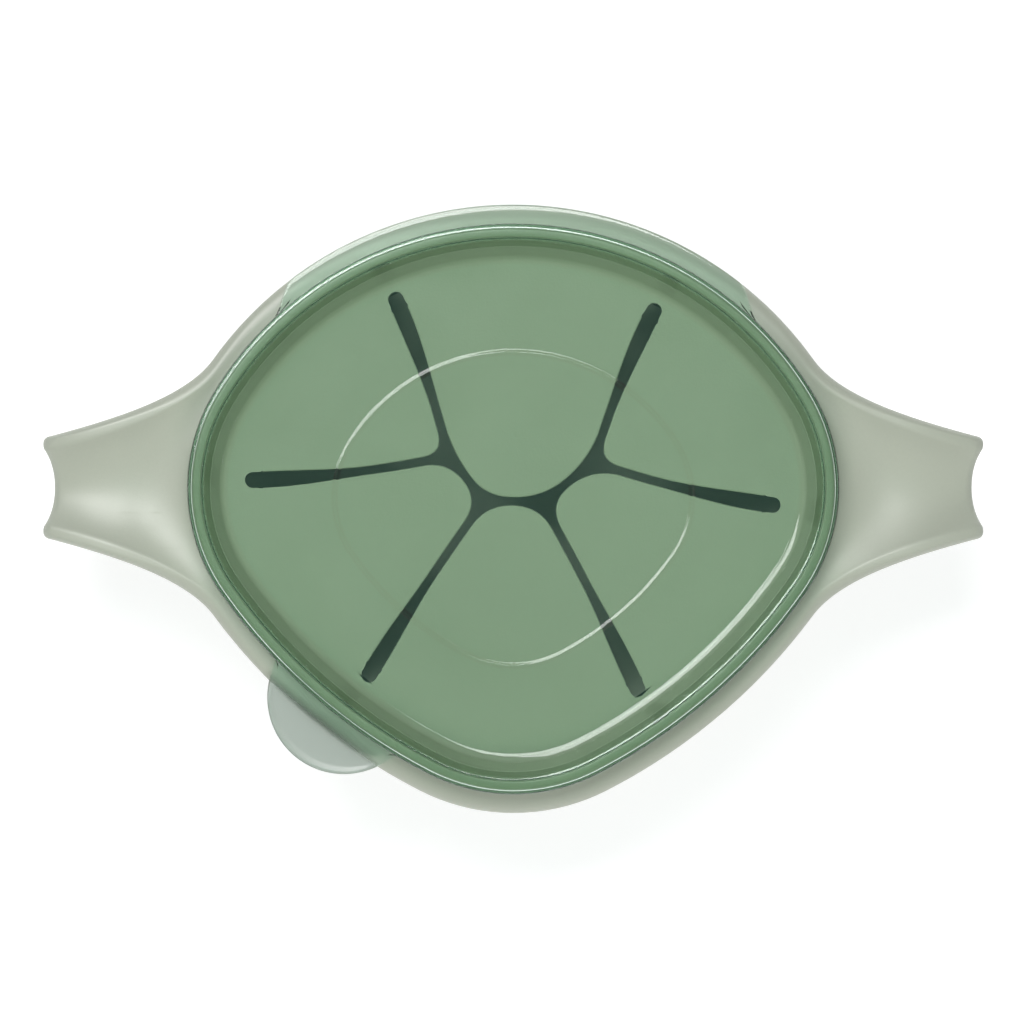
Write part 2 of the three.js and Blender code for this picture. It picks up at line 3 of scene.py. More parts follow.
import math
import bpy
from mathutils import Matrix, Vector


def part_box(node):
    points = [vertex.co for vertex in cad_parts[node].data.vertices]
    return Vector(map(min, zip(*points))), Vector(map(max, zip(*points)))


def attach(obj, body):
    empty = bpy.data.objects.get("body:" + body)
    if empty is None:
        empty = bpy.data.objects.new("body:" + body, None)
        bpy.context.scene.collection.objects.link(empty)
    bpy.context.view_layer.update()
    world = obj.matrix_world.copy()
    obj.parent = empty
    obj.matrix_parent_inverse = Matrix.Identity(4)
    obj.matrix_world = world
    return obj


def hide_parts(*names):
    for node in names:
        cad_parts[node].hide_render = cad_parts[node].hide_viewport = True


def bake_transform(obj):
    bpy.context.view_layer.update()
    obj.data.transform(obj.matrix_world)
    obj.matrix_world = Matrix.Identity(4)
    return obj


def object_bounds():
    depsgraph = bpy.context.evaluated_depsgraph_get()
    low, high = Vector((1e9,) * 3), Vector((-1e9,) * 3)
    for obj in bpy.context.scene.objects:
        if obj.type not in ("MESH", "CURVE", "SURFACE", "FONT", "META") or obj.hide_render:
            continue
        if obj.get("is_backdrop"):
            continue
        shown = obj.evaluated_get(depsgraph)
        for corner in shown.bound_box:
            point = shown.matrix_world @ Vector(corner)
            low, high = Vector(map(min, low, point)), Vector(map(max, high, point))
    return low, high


bl_info = {
    "name": "Suction Bowl",
    "version": (1, 0, 0),
    "blender": (4, 5, 0),
    "location": "View3D > Sidebar > Suction Bowl",
    "description": "Builds an egg-shaped suction bowl with a slit snack lid and a clear cover",
    "category": "Object",
}

import bmesh
import bpy
from bpy.props import FloatProperty, FloatVectorProperty, PointerProperty
from mathutils import Vector

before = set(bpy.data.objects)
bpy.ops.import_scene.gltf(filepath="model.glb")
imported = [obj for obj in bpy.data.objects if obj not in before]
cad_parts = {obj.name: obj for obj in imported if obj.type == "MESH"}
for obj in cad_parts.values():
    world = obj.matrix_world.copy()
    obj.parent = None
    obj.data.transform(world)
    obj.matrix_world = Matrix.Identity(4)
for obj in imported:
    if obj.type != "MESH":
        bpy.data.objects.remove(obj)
CAD_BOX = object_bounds()

MM = 0.001
UP = Vector((0, 0, 1))

# Places that the packed model gives.
FRAME_LOW, FRAME_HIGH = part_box("lid_frame")
BOWL_LOW, BOWL_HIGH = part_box("bowl")
FLAP_LOW, FLAP_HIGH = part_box("flap_back")
BASE_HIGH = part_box("suction_base")[1]
TAB_LOW, TAB_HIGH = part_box("release_tab")
CLEARANCE = 0.3 * MM
SHOULDER_TOP = FRAME_LOW.z - CLEARANCE
SILICONE_TOP = FLAP_HIGH.z
SILICONE_BOTTOM = FLAP_LOW.z
COVER_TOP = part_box("clear_cover")[1].z
FOOT_RADIUS = 40 * MM

# The flaps in order round the star: node, body, and the slits on their two sides.
FLAPS = (
    ("flap_right_back", "right_back_petal", "right", "back_right"),
    ("flap_back", "back_petal", "back_right", "back_left"),
    ("flap_left_back", "left_back_petal", "back_left", "left"),
    ("flap_left_front", "left_front_petal", "left", "front_left"),
    ("flap_front", "front_petal", "front_left", "front_right"),
    ("flap_right_front", "right_front_petal", "front_right", "right"),
)

# Each slit: the direction its end faces in degrees, the junction it joins, and its bow in mm.
SLITS = {
    "right": (-8.4, 3, 1.5),
    "back_right": (61.8, 3, -1.2),
    "back_left": (113.2, 0, 1.2),
    "left": (176.4, 0, -1.5),
    "front_left": (232.0, 1, 0.8),
    "front_right": (305.3, 2, -0.8),
}

# Where slits meet, in mm from the middle of the lid.
JUNCTIONS = ((-14.3, 6.8), (-7.0, -3.0), (7.0, -3.4), (17.9, 5.4))

# Where the cover's pull tab points.
TAB_DIRECTION = math.radians(231.4)


# Sizes and colours that a user may change.


def length(name, description, default):
    return FloatProperty(name=name, description=description, default=default * MM, unit="LENGTH")


def colour(name, description, default):
    return FloatVectorProperty(
        name=name, description=description, default=default, subtype="COLOR", size=3, min=0, max=1
    )


class EggShape(bpy.types.PropertyGroup):
    nose_lead: length("Nose Lead", "How much further the front reaches than the back", 10)
    corner_radius: length("Corner Radius", "Radius of the egg's two sides", 42.9)
    flank_radius: length("Flank Radius", "Radius of the long front flanks", 133.8)
    nose_radius: length("Nose Radius", "Radius of the narrow front", 43.2)
    band_width: length("Band Width", "Shoulder that shows round the lid", 4.7)


class BowlShape(bpy.types.PropertyGroup):
    wall: length("Wall", "Thickness of the bowl's wall", 2.2)
    floor_thickness: length("Floor", "Thickness of the bowl's floor", 3)
    floor_radius: length("Floor Radius", "Flat round floor inside the bowl", 30)
    shell: length("Shell", "Thickness of the shoulder and handles", 2.4)
    roll: length("Roll", "Radius of the shoulder's rolled edge", 3.4)
    tip_roll: length("Tip Roll", "Radius of the roll across a handle's end", 1.6)
    skirt_drop: length("Skirt", "How far the skirt hangs below the roll", 3.4)
    trough_depth: length("Trough", "Depth of the hollow along a handle", 5.5)
    trough_run: length("Trough Run", "Distance over which the hollow grows", 15)
    lip_width: length("Lip", "Width of a handle's side lips", 3.1)
    handle_root: length("Handle Root", "Half the width of a handle at the shoulder", 30)
    tip_half_width: length("Tip", "Half the width of a handle's end", 12.1)
    tip_sag: length("Tip Sag", "How far the handle's end curves in", 2.7)
    droop_start: length("Droop Start", "Where the handle starts to droop", 14)
    droop_slope: FloatProperty(name="Droop", description="Slope of the handle at its end", default=0.66)


class LidShape(bpy.types.PropertyGroup):
    cover_thickness: length("Cover", "Thickness of the clear cover", 0.8)
    crest_width: length("Crest", "Width of the lid's flat crest", 3.8)
    recess_run: length("Recess Run", "Width of the slope down to the sunk floor", 3.8)
    recess_depth: length("Recess Depth", "Depth of the sunk floor", 6.5)
    frame_wall: length("Frame Wall", "Thickness of the stiff ring", 1.2)
    frame_bond: length("Frame Bond", "How far down the ring's slope reaches", 3)
    slit_width: length("Slit", "Width of a slit at its end", 3.7)
    slit_neck: length("Slit Neck", "Width of a slit near the middle", 1.9)
    slit_inset: length("Slit Inset", "From the lid's edge to a slit's end", 12)
    side_slit_inset: length("Side Slit Inset", "The same for the two side slits", 15)
    tip_round: length("Flap Tip", "Rounding at the slits' junctions", 8)
    bead_reach: length("Bead", "Bead round the cover's lower edge", 0.3)
    flange_reach: length("Back Flange", "Reach of the cover over the shoulder", 4.6)
    tab_radius: length("Tab", "Radius of the cover's pull tab", 17.9)
    tab_inset: length("Tab Inset", "Middle of the tab inside the lid's edge", 4.15)
    rib_width: length("Bead Width", "Width of the raised oval bead on the cover", 1.4)
    rib_height: length("Bead Height", "Height of the raised oval bead", 0.3)


class Finishes(bpy.types.PropertyGroup):
    sage: colour("Sage Plastic", "Bowl and handles", (0.39, 0.41, 0.34))
    green: colour("Green Plastic", "Stiff ring of the snack lid", (0.16, 0.21, 0.122))
    silicone: colour("Green Silicone", "Slit dish, base and pull tab", (0.224, 0.262, 0.176))
    clear: colour("Clear Plastic", "Cover", (0.93, 0.96, 0.94))
    # Painted shade: a darker colour for the free half of the cover's tab, standing in for the shadowed
    # floor seen through it.
    painted_tab_shade: colour("Painted Tab Shade", "Free half of the cover's tab", (0.42, 0.45, 0.42))
    floor: colour("Floor", "Ground under the bowl", (0.55, 0.55, 0.55))


class StageSettings(bpy.types.PropertyGroup):
    lens: FloatProperty(name="Lens", description="Focal length of the camera", default=400, unit="CAMERA")
    picture_span: length("Picture Span", "Width that the picture takes in at the rim", 238.9)
    key_power: FloatProperty(name="Key Light", description="Watts of the key light", default=6.6)
    edge_power: FloatProperty(name="Edge Light", description="Watts of the gloss light", default=9)
    fill_power: FloatProperty(name="Fill Light", description="Watts of the fill light", default=7)
    sky: FloatProperty(name="Sky", description="Strength of the even light all round", default=0.3)


def sizes():
    scene = bpy.context.scene
    return scene.egg_shape, scene.bowl_shape, scene.lid_shape


# The egg outline and what follows it.


def bezier(points, share):
    points = list(points)
    while len(points) > 1:
        points = [a.lerp(b, share) for a, b in zip(points, points[1:])]
    return points[0]


def facing(direction):
    return Vector((math.cos(direction), math.sin(direction)))


def bearing(a, b):
    return math.atan2(b.y - a.y, b.x - a.x)


def folded(direction):
    """The same direction mirrored onto the right half, and the side it came from."""
    side = -1 if math.cos(direction) < 0 else 1
    return math.atan2(math.sin(direction), abs(math.cos(direction))), side


def smooth(value, low, high):
    share = min(1, max(0, (value - low) / (high - low)))
    return share * share * (3 - 2 * share)


def shares(count, low=0.0, high=1.0):
    return [low + (high - low) * i / count for i in range(count + 1)]


class Egg:
    """The lid's outline: six tangent arcs, drawn by the direction that the edge faces."""

    def __init__(self):
        shape, _, lid = sizes()
        skin = lid.cover_thickness + CLEARANCE
        self.middle = shape.nose_lead / 2
        self.half = FRAME_HIGH.x + skin
        back = FRAME_HIGH.y - self.middle + skin
        nose = self.middle - FRAME_LOW.y + skin
        corner, flank, tip = shape.corner_radius, shape.flank_radius, shape.nose_radius
        rear = (self.half**2 + back**2 - 2 * self.half * corner) / (2 * (back - corner))
        rear_centre = Vector((0, back - rear))
        corner_centre = Vector((self.half - corner, 0))
        tip_centre = Vector((0, tip - nose))
        apart = (tip_centre - corner_centre).length
        along = (apart**2 + (flank - corner) ** 2 - (flank - tip) ** 2) / (2 * apart)
        across = math.sqrt((flank - corner) ** 2 - along**2)
        step = (tip_centre - corner_centre).normalized()
        flank_centre = corner_centre + step * along + Vector((step.y, -step.x)) * across
        self.joints = (
            bearing(flank_centre, tip_centre),
            bearing(flank_centre, corner_centre),
            bearing(rear_centre, corner_centre),
        )
        self.arcs = ((tip_centre, tip), (flank_centre, flank), (corner_centre, corner), (rear_centre, rear))

    def arc(self, direction):
        turned, _ = folded(direction)
        return self.arcs[sum(turned > joint for joint in self.joints)]

    def edge(self, direction, offset=0.0):
        """The point whose edge faces a direction, moved outwards by an offset."""
        _, side = folded(direction)
        centre, radius = self.arc(direction)
        return Vector((side * centre.x, self.middle + centre.y)) + facing(direction) * (radius + offset)

    def loft(self, direction, roundness, radius, offset):
        """The egg drawn in towards a circle about the origin as roundness goes from 0 to 1."""
        reach = roundness * radius + offset
        return self.edge(direction) * (1 - roundness) + facing(direction) * reach

    def directions(self, step, spans=()):
        """Directions once round, a step of edge apart, with some spans cut into their own count."""
        quarter = math.pi / 2
        stops = {-quarter, quarter, 3 * quarter}
        for joint in self.joints:
            stops |= {joint, math.pi - joint}
        for low, high, _ in spans:
            stops |= {low, high}
        stops = sorted(stops)
        result = []
        for low, high in zip(stops, stops[1:]):
            middle = (low + high) / 2
            count = math.ceil((high - low) * self.arc(middle)[1] / step)
            for span_low, span_high, span_count in spans:
                if span_low < middle < span_high:
                    count = math.ceil((high - low) / (span_high - span_low) * span_count)
            result += [low + (high - low) * i / count for i in range(count)]
        return result

    def ring(self, roundness, radius, offset, height):
        return lambda direction: (*self.loft(direction, roundness, radius, offset), height)

    def rings(self, path):
        """Stations parallel to the egg, through the (offset, height) points of a path."""
        return [self.ring(0, 0, offset, height) for offset, height in path]

    def disc(self, radius, height):
        return self.ring(1, radius, 0, height)


def rounded(corners, steps=6):
    """A path through (across, height, radius) corners, each rounded by its radius."""
    path = []
    for i, (across, height, radius) in enumerate(corners):
        corner = Vector((across, height))
        if radius == 0 or i in (0, len(corners) - 1):
            path.append(corner)
            continue
        before = Vector(corners[i - 1][:2]) - corner
        after = Vector(corners[i + 1][:2]) - corner
        half = before.angle(after) / 2
        reach = min(radius / math.tan(half), 0.49 * before.length, 0.49 * after.length)
        start = before.normalized() * reach
        end = after.normalized() * reach
        middle = (start + end).normalized() * reach / math.cos(half)
        round_off = reach * math.tan(half)
        sweep = (start - middle).angle(end - middle)
        for j in range(steps + 1):
            share = j / steps
            spoke = (start - middle).slerp(end - middle, share) if sweep > 1e-4 else start - middle
            path.append(corner + middle + spoke.normalized() * round_off)
    return [tuple(point) for point in path]


def recess_face(lid, depth):
    """Offset of a sheet that lies a depth under the cover's sloped wall, by height."""
    lean = lid.recess_run / (lid.recess_depth - 0.9 * MM)
    foot = -lid.crest_width - lid.recess_run + depth * math.hypot(1, lean)
    floor = COVER_TOP - lid.recess_depth + 0.5 * MM
    return lambda height: foot + (height - floor) * lean


# Mesh building.


def shell(name, directions, stations, closed=False, crease=40):
    """A closed skin: a circle of vertices shaped to each station and extruded to the next one.
    A station gives a point for a direction. Open ends are drawn together into a pole."""
    bm = bmesh.new()
    turn = bm.verts.layers.int.new("turn")
    ring = bmesh.ops.create_circle(bm, segments=len(directions), radius=1)["verts"]
    for index, vert in enumerate(ring):
        vert[turn] = index
    edges = first_edges = bm.edges[:]
    first = ring
    shape_ring(ring, turn, directions, stations[0])
    for station in stations[1:]:
        grown = bmesh.ops.extrude_edge_only(bm, edges=edges)["geom"]
        ring = new_verts(grown)
        shape_ring(ring, turn, directions, station)
        new = set(ring)
        edges = [
            part
            for part in grown
            if isinstance(part, bmesh.types.BMEdge) and all(vert in new for vert in part.verts)
        ]
    if closed:
        bmesh.ops.bridge_loops(bm, edges=first_edges + edges)
    else:
        for pole in (first, ring):
            middle = sum((vert.co for vert in pole), Vector()) / len(pole)
            bmesh.ops.pointmerge(bm, verts=pole, merge_co=middle)
    return finished(bm, name, crease)


def shape_ring(verts, turn, directions, station):
    for vert in verts:
        vert.co = station(directions[vert[turn]])


def finished(bm, name, crease=40):
    """Turns a bmesh into a smooth-shaded object at the origin, creased where it is sharp."""
    bmesh.ops.recalc_face_normals(bm, faces=bm.faces)
    for face in bm.faces:
        face.smooth = True
    for edge in bm.edges:
        edge.smooth &= not edge.is_manifold or edge.calc_face_angle(0) < math.radians(crease)
    mesh = bpy.data.meshes.new(name)
    bm.to_mesh(mesh)
    bm.free()
    piece = bpy.data.objects.new(name, mesh)
    bpy.context.scene.collection.objects.link(piece)
    return piece


def new_verts(parts):
    return [part for part in parts if isinstance(part, bmesh.types.BMVert)]


def lift(bm, faces, height):
    """Extrudes faces upwards."""
    grown = bmesh.ops.extrude_face_region(bm, geom=faces)["geom"]
    bmesh.ops.translate(bm, verts=new_verts(grown), vec=UP * height)


def cut(bm, spot, normal):
    """Divides the faces along a plane."""
    parts = bm.verts[:] + bm.edges[:] + bm.faces[:]
    bmesh.ops.bisect_plane(bm, geom=parts, plane_co=spot, plane_no=normal)


def level(edge):
    return abs(edge.verts[0].co.z - edge.verts[1].co.z) < 1e-7


def soften(bm, edges, radius, segments):
    """Rounds edges and gives the faces of the round."""
    return bmesh.ops.bevel(
        bm, geom=edges, offset=radius, segments=segments, profile=0.5, affect="EDGES", material=-1
    )["faces"]


def outline_face(bm, points, height):
    """A flat face whose rim runs through the points."""
    verts = bmesh.ops.create_circle(bm, segments=len(points), radius=1)["verts"]
    for vert, point in zip(verts, points):
        vert.co = (point.x, point.y, height)
    edges = {edge for vert in verts for edge in vert.link_edges}
    return bmesh.ops.contextual_create(bm, geom=list(edges))["faces"]


# Bowl and handles.


class Wing:
    """The shoulder's outer edge and its two saddle handles, drawn on the right and mirrored."""

    # The side, the corner and the end of a handle share its edge by these directions.
    corner_from = math.radians(11)
    corner_to = math.radians(7)
    corner_blend = math.radians(2)
    # Where the guide points of those three curves lie.
    tip_room = 0.25 * MM
    root_pull = 9.6 * MM
    neck_share = 0.55
    neck_spread = 4.8 * MM
    side_end = 1.9 * MM
    corner_out = 0.5 * MM
    corner_in = 0.3 * MM
    corner_narrow = 0.4 * MM
    corner_width = 3 * MM
    end_flat = 0.6
    trough_ease = 2.2
    rim_gap = 0.2 * MM
    side_samples = 120

    def __init__(self, egg):
        shape, self.bowl, lid = sizes()
        self.egg = egg
        self.band = shape.band_width
        self.reach = BOWL_HIGH.x - egg.half + self.tip_room
        self.tip = egg.half + self.reach
        self.start_offset = -(lid.cover_thickness + lid.frame_wall + 2 * CLEARANCE) + self.rim_gap
        self.back_root = self.direction_at(self.bowl.handle_root)
        self.front_root = self.direction_at(-self.bowl.handle_root)
        self.sides = {1: self.side(self.back_root), -1: self.side(self.front_root)}
        self.samples = [bezier(self.sides[1], share) for share in shares(self.side_samples)]

    def direction_at(self, distance):
        low, high = math.radians(-80), math.radians(80)
        for _ in range(40):
            middle = (low + high) / 2
            if self.egg.edge(middle, self.band).y - self.egg.middle < distance:
                low = middle
            else:
                high = middle
        return (low + high) / 2

    def side(self, root_direction):
        sign = math.copysign(1, root_direction)
        root = self.egg.edge(root_direction, self.band)
        along = Vector((abs(math.sin(root_direction)), -sign * math.cos(root_direction)))
        end = Vector((self.tip - self.side_end, self.egg.middle + sign * self.bowl.tip_half_width))
        neck = Vector((end.x - self.neck_share * self.reach, end.y + sign * self.neck_spread))
        return root, root + along * self.root_pull, neck, end

    def corner(self, sign):
        width, middle = self.bowl.tip_half_width, self.egg.middle
        return (
            Vector((self.tip - self.side_end, middle + sign * width)),
            Vector((self.tip + self.corner_out, middle + sign * (width - self.corner_narrow))),
            Vector((self.tip - self.corner_in, middle + sign * (width - self.corner_width))),
        )

    def end(self, sign):
        width, middle = self.bowl.tip_half_width - self.corner_width, self.egg.middle
        return (
            Vector((self.tip - self.corner_in, middle + sign * width)),
            Vector((self.tip - self.bowl.tip_sag, middle + sign * width * self.end_flat)),
            Vector((self.tip - self.bowl.tip_sag, middle)),
        )

    def edge(self, direction):
        turned, side = folded(direction)
        if not self.front_root <= turned <= self.back_root:
            return self.egg.edge(direction, self.band)
        sign = -1 if turned < 0 else 1
        root = abs(self.back_root if sign > 0 else self.front_root)
        away = abs(turned)
        if away > self.corner_from:
            point = bezier(self.sides[sign], (root - away) / (root - self.corner_from))
        elif away > self.corner_to:
            share = (self.corner_from - away) / (self.corner_from - self.corner_to)
            point = bezier(self.corner(sign), share)
        else:
            point = bezier(self.end(sign), 1 - away / self.corner_to)
        return Vector((side * point.x, point.y))

    def half_width(self, reach):
        if reach < self.samples[0].x:
            return self.bowl.handle_root + (self.samples[0].x - reach) / math.tan(self.back_root)
        for a, b in zip(self.samples, self.samples[1:]):
            if b.x > reach:
                return a.y + (b.y - a.y) * (reach - a.x) / (b.x - a.x) - self.egg.middle
        return self.bowl.tip_half_width

    def saddle(self, spot, run):
        """How far the handle's top lies under the shoulder."""
        bowl = self.bowl
        inner = self.half_width(abs(spot.x)) - bowl.lip_width
        across = min(1, abs(spot.y - self.egg.middle) / inner)
        grown = 1 - (1 - min(1, max(0, run / bowl.trough_run))) ** self.trough_ease
        beyond = max(0, abs(spot.x) - self.egg.half - bowl.droop_start)
        droop = bowl.droop_slope * beyond**2 / (2 * (self.reach - bowl.droop_start))
        return bowl.trough_depth * grown * (1 - across**2) + droop

    def roll(self, direction):
        away = abs(folded(direction)[0])
        share = smooth(away, self.corner_to - self.corner_blend, self.corner_from + self.corner_blend)
        return self.bowl.tip_roll + (self.bowl.roll - self.bowl.tip_roll) * share

    def top(self, inset, share=0.0, lowered=0.0):
        """A station of the upper surface: inset in rolls from the edge, then a share of the rest."""

        def station(direction):
            start = self.egg.edge(direction, self.start_offset)
            end = self.edge(direction)
            span = (end - start).length
            roll = self.roll(direction)
            away = inset * roll + share * (span - inset * roll)
            spot = end.lerp(start, away / span)
            rolled = roll - math.sqrt(max(0, roll**2 - (roll - away) ** 2)) if away < roll else 0
            sunk = self.saddle(spot, span - away)
            return (*spot, SHOULDER_TOP - sunk - rolled - lowered)

        return station

    def skirt(self, inset, lift):
        """A station of the skirt: inset from the outer edge, lifted above its foot."""

        def station(direction):
            start = self.egg.edge(direction, self.start_offset)
            end = self.edge(direction)
            spot = end.lerp(start, inset / (end - start).length)
            height = self.top(0)(direction)[2] - self.bowl.skirt_drop + lift
            return (*spot, height)

        return station

    def directions(self, step):
        """The egg's directions, with a count of their own for the handles' sides, corners and ends."""
        corner, end = self.corner_from, self.corner_to
        turns = (self.front_root, -corner, -end, end, corner, self.back_root)
        counts = (34, 12, 22, 12, 34)
        spans = []
        for low, high, count in zip(turns, turns[1:], counts):
            spans.append((low, high, count))
            spans.append((math.pi - high, math.pi - low, count))
        return self.egg.directions(step, spans)


def build_bowl():
    egg = Egg()
    wing = Wing(egg)
    _, bowl, lid = sizes()
    foot = BOWL_LOW.z
    foot_inner = FOOT_RADIUS - 2.5 * MM
    rim_top = SHOULDER_TOP + 3.2 * MM
    wall_flare, wall_knee, wall_fillet = 0.35, 0.56, 0.62
    channel = recess_face(lid, lid.cover_thickness + (SILICONE_TOP - SILICONE_BOTTOM) + 2 * CLEARANCE)
    rim_outer = wing.start_offset - wing.rim_gap
    wall_top = SILICONE_BOTTOM - 0.1 * MM
    wall_offset = channel(wall_top)
    stand = BASE_HIGH.z - 0.9 * MM
    inner_floor = stand + bowl.floor_thickness
    curve = (
        Vector((0, wall_top)),
        Vector((wall_flare, inner_floor + wall_knee * (wall_top - inner_floor))),
        Vector((wall_fillet, inner_floor)),
        Vector((1, inner_floor)),
    )

    def inner_wall(share):
        roundness, height = bezier(curve, share)
        return egg.ring(roundness, bowl.floor_radius, wall_offset * (1 - share), height)

    def outer_wall(share):
        roundness, height = bezier(curve, share)
        offset = wall_offset * (1 - share) + bowl.wall * (1 - share**2)
        return egg.ring(roundness, bowl.floor_radius, offset, height - bowl.floor_thickness * share**2)

    quarter = [1 - math.cos(math.radians(angle)) for angle in range(0, 91, 9)]
    foot_path = rounded(
        [
            (0, stand, 0),
            (foot_inner, stand, 1.2 * MM),
            (foot_inner, foot, 0.6 * MM),
            (FOOT_RADIUS, foot, 0.8 * MM),
            (FOOT_RADIUS, BASE_HIGH.z + 1 * MM, 0),
        ]
    )
    stations = [egg.disc(radius, height) for radius, height in foot_path]
    stations += [outer_wall(share) for share in shares(16, 0.64, 0.17)]
    stations += [wing.top(1, share, bowl.shell) for share in shares(10, 1, 0)]
    stations += [
        wing.top(0.72, 0, bowl.shell),
        wing.skirt(1.75 * MM, bowl.skirt_drop - 0.6 * MM),
        wing.skirt(1.6 * MM, bowl.skirt_drop / 2),
        wing.skirt(1.6 * MM, 0.8 * MM),
        wing.skirt(1.35 * MM, 0.24 * MM),
        wing.skirt(0.8 * MM, 0),
        wing.skirt(0.25 * MM, 0.24 * MM),
        wing.skirt(0, 0.8 * MM),
        wing.skirt(0, bowl.skirt_drop / 2),
    ]
    stations += [wing.top(inset) for inset in quarter]
    stations += [wing.top(1, share) for share in shares(24, 0.04, 1)]
    stations += egg.rings(
        rounded(
            [
                (rim_outer, SHOULDER_TOP + 0.3 * MM, 0),
                (rim_outer, rim_top, 0.45 * MM),
                (channel(rim_top), rim_top, 0.45 * MM),
                (wall_offset, wall_top, 0),
            ],
            4,
        )
    )
    stations += [inner_wall(share) for share in shares(30, 0.03, 1)]
    stations += [egg.disc(radius * MM, inner_floor) for radius in (24, 14, 5)]
    piece = shell("bowl_moulding", wing.directions(2.4 * MM), stations, crease=50)
    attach(piece, "bowl")
    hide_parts("bowl")
    piece.data.materials.append(sage_plastic())


# Suction base and its pull tab.


def build_base():
    lip = BASE_HIGH.x
    inner = FOOT_RADIUS + CLEARANCE
    outer = inner + 4 * MM
    pad = BOWL_LOW.z - CLEARANCE
    plug = inner - 3.1 * MM
    profile = [
        (0, 2.2 * MM, 0),
        (20 * MM, 2.1 * MM, 3 * MM),
        (lip - 9.2 * MM, 1.5 * MM, 3 * MM),
        (lip - 3.2 * MM, 0, 1 * MM),
        (lip, 0, 0.5 * MM),
        (lip - 0.1 * MM, 1.2 * MM, 0.5 * MM),
        (outer + 1.2 * MM, 4 * MM, 5 * MM),
        (outer, BASE_HIGH.z - 2 * MM, 4 * MM),
        (outer - 0.9 * MM, BASE_HIGH.z, 1 * MM),
        (inner, BASE_HIGH.z, 0.5 * MM),
        (inner, pad, 0.5 * MM),
        (plug, pad, 0.5 * MM),
        (plug, BASE_HIGH.z - 2.2 * MM, 0.8 * MM),
        (plug - 3 * MM, BASE_HIGH.z - 2.2 * MM, 0.8 * MM),
        (plug - 4 * MM, pad, 1.5 * MM),
        (0, pad - 0.1 * MM, 0),
    ]
    egg = Egg()
    turns = shares(160, 0, 2 * math.pi)[:-1]
    stations = [egg.disc(radius, height) for radius, height in rounded(profile, 5)]
    piece = shell("suction_cup", turns, stations, crease=50)
    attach(piece, "base")
    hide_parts("suction_base")
    piece.data.materials.append(green_silicone())


def build_release_tab():
    """A tongue that grows out of the suction lip, with three grip bars near its round end."""
    half = TAB_HIGH.x
    root = TAB_HIGH.y + 2.2 * MM
    round_middle = TAB_LOW.y + half
    bar_height, bar_half, bar_half_length = 0.4 * MM, 0.6 * MM, 5.5 * MM
    top = TAB_HIGH.z - bar_height
    points = [Vector((-half, root)), Vector((-half, (root + round_middle) / 2))]
    points += [Vector((0, round_middle)) + facing(turn) * half for turn in shares(40, math.pi, 2 * math.pi)]
    points += [Vector((half, (root + round_middle) / 2)), Vector((half, root))]
    bm = bmesh.new()
    outline_face(bm, points, TAB_LOW.z)
    lift(bm, bm.faces[:], top - TAB_LOW.z)
    rims = [
        edge for edge in bm.edges if edge.is_manifold and edge.calc_face_angle(0) > 1 and level(edge)
    ]
    soften(bm, rims, 0.6 * MM, 4)
    bars = [TAB_LOW.y + 3.2 * MM + 2.6 * MM * i for i in range(3)]
    for across in [bar + side * bar_half for bar in bars for side in (-1, 1)]:
        cut(bm, (0, across, 0), (0, 1, 0))
    for i in range(5):
        cut(bm, (0, TAB_HIGH.y - i * 1.2 * MM, 0), (0, 1, 0))
    for side in (-1, 1):
        cut(bm, (side * bar_half_length, 0, 0), (1, 0, 0))
    for bar in bars:
        faces = []
        for face in bm.faces:
            spot = face.calc_center_median()
            on_bar = abs(spot.y - bar) < bar_half and abs(spot.x) < bar_half_length
            if on_bar and spot.z > top - 0.05 * MM:
                faces.append(face)
        lift(bm, faces, bar_height)
        bmesh.ops.delete(bm, geom=faces, context="FACES")
    piece = finished(bm, "suction_release_tab", 35)
    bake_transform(piece)
    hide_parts("release_tab")
    piece.data.materials.append(green_silicone())


# Snack lid.


def build_lid_frame():
    egg = Egg()
    _, _, lid = sizes()
    outer = -(lid.cover_thickness + CLEARANCE / 2)
    top = FRAME_HIGH.z
    inner = recess_face(lid, lid.cover_thickness + CLEARANCE)
    back = recess_face(lid, lid.cover_thickness + CLEARANCE + 1.4 * MM)
    bond = top - lid.frame_bond
    inside = outer - lid.frame_wall
    shoulder = min(back(top - 1.8 * MM), inside - 0.1 * MM)
    corners = [
        (inside, FRAME_LOW.z + 1 * MM, 0),
        (inside, FRAME_LOW.z, 0.3 * MM),
        (outer, FRAME_LOW.z, 0.3 * MM),
        (outer, top, 0.7 * MM),
        (inner(top), top, 0.5 * MM),
        (inner(bond), bond, 0.3 * MM),
        (back(bond), bond, 0.3 * MM),
        (shoulder, top - 1.8 * MM, 0.2 * MM),
        (inside, top - 2.2 * MM, 0.2 * MM),
        (inside, top - 3 * MM, 0),
    ]
    piece = shell("lid_ring", egg.directions(1.3 * MM), egg.rings(rounded(corners, 5)), closed=True)
    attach(piece, "snack_lid")
    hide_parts("lid_frame")
    piece.data.materials.append(green_plastic())


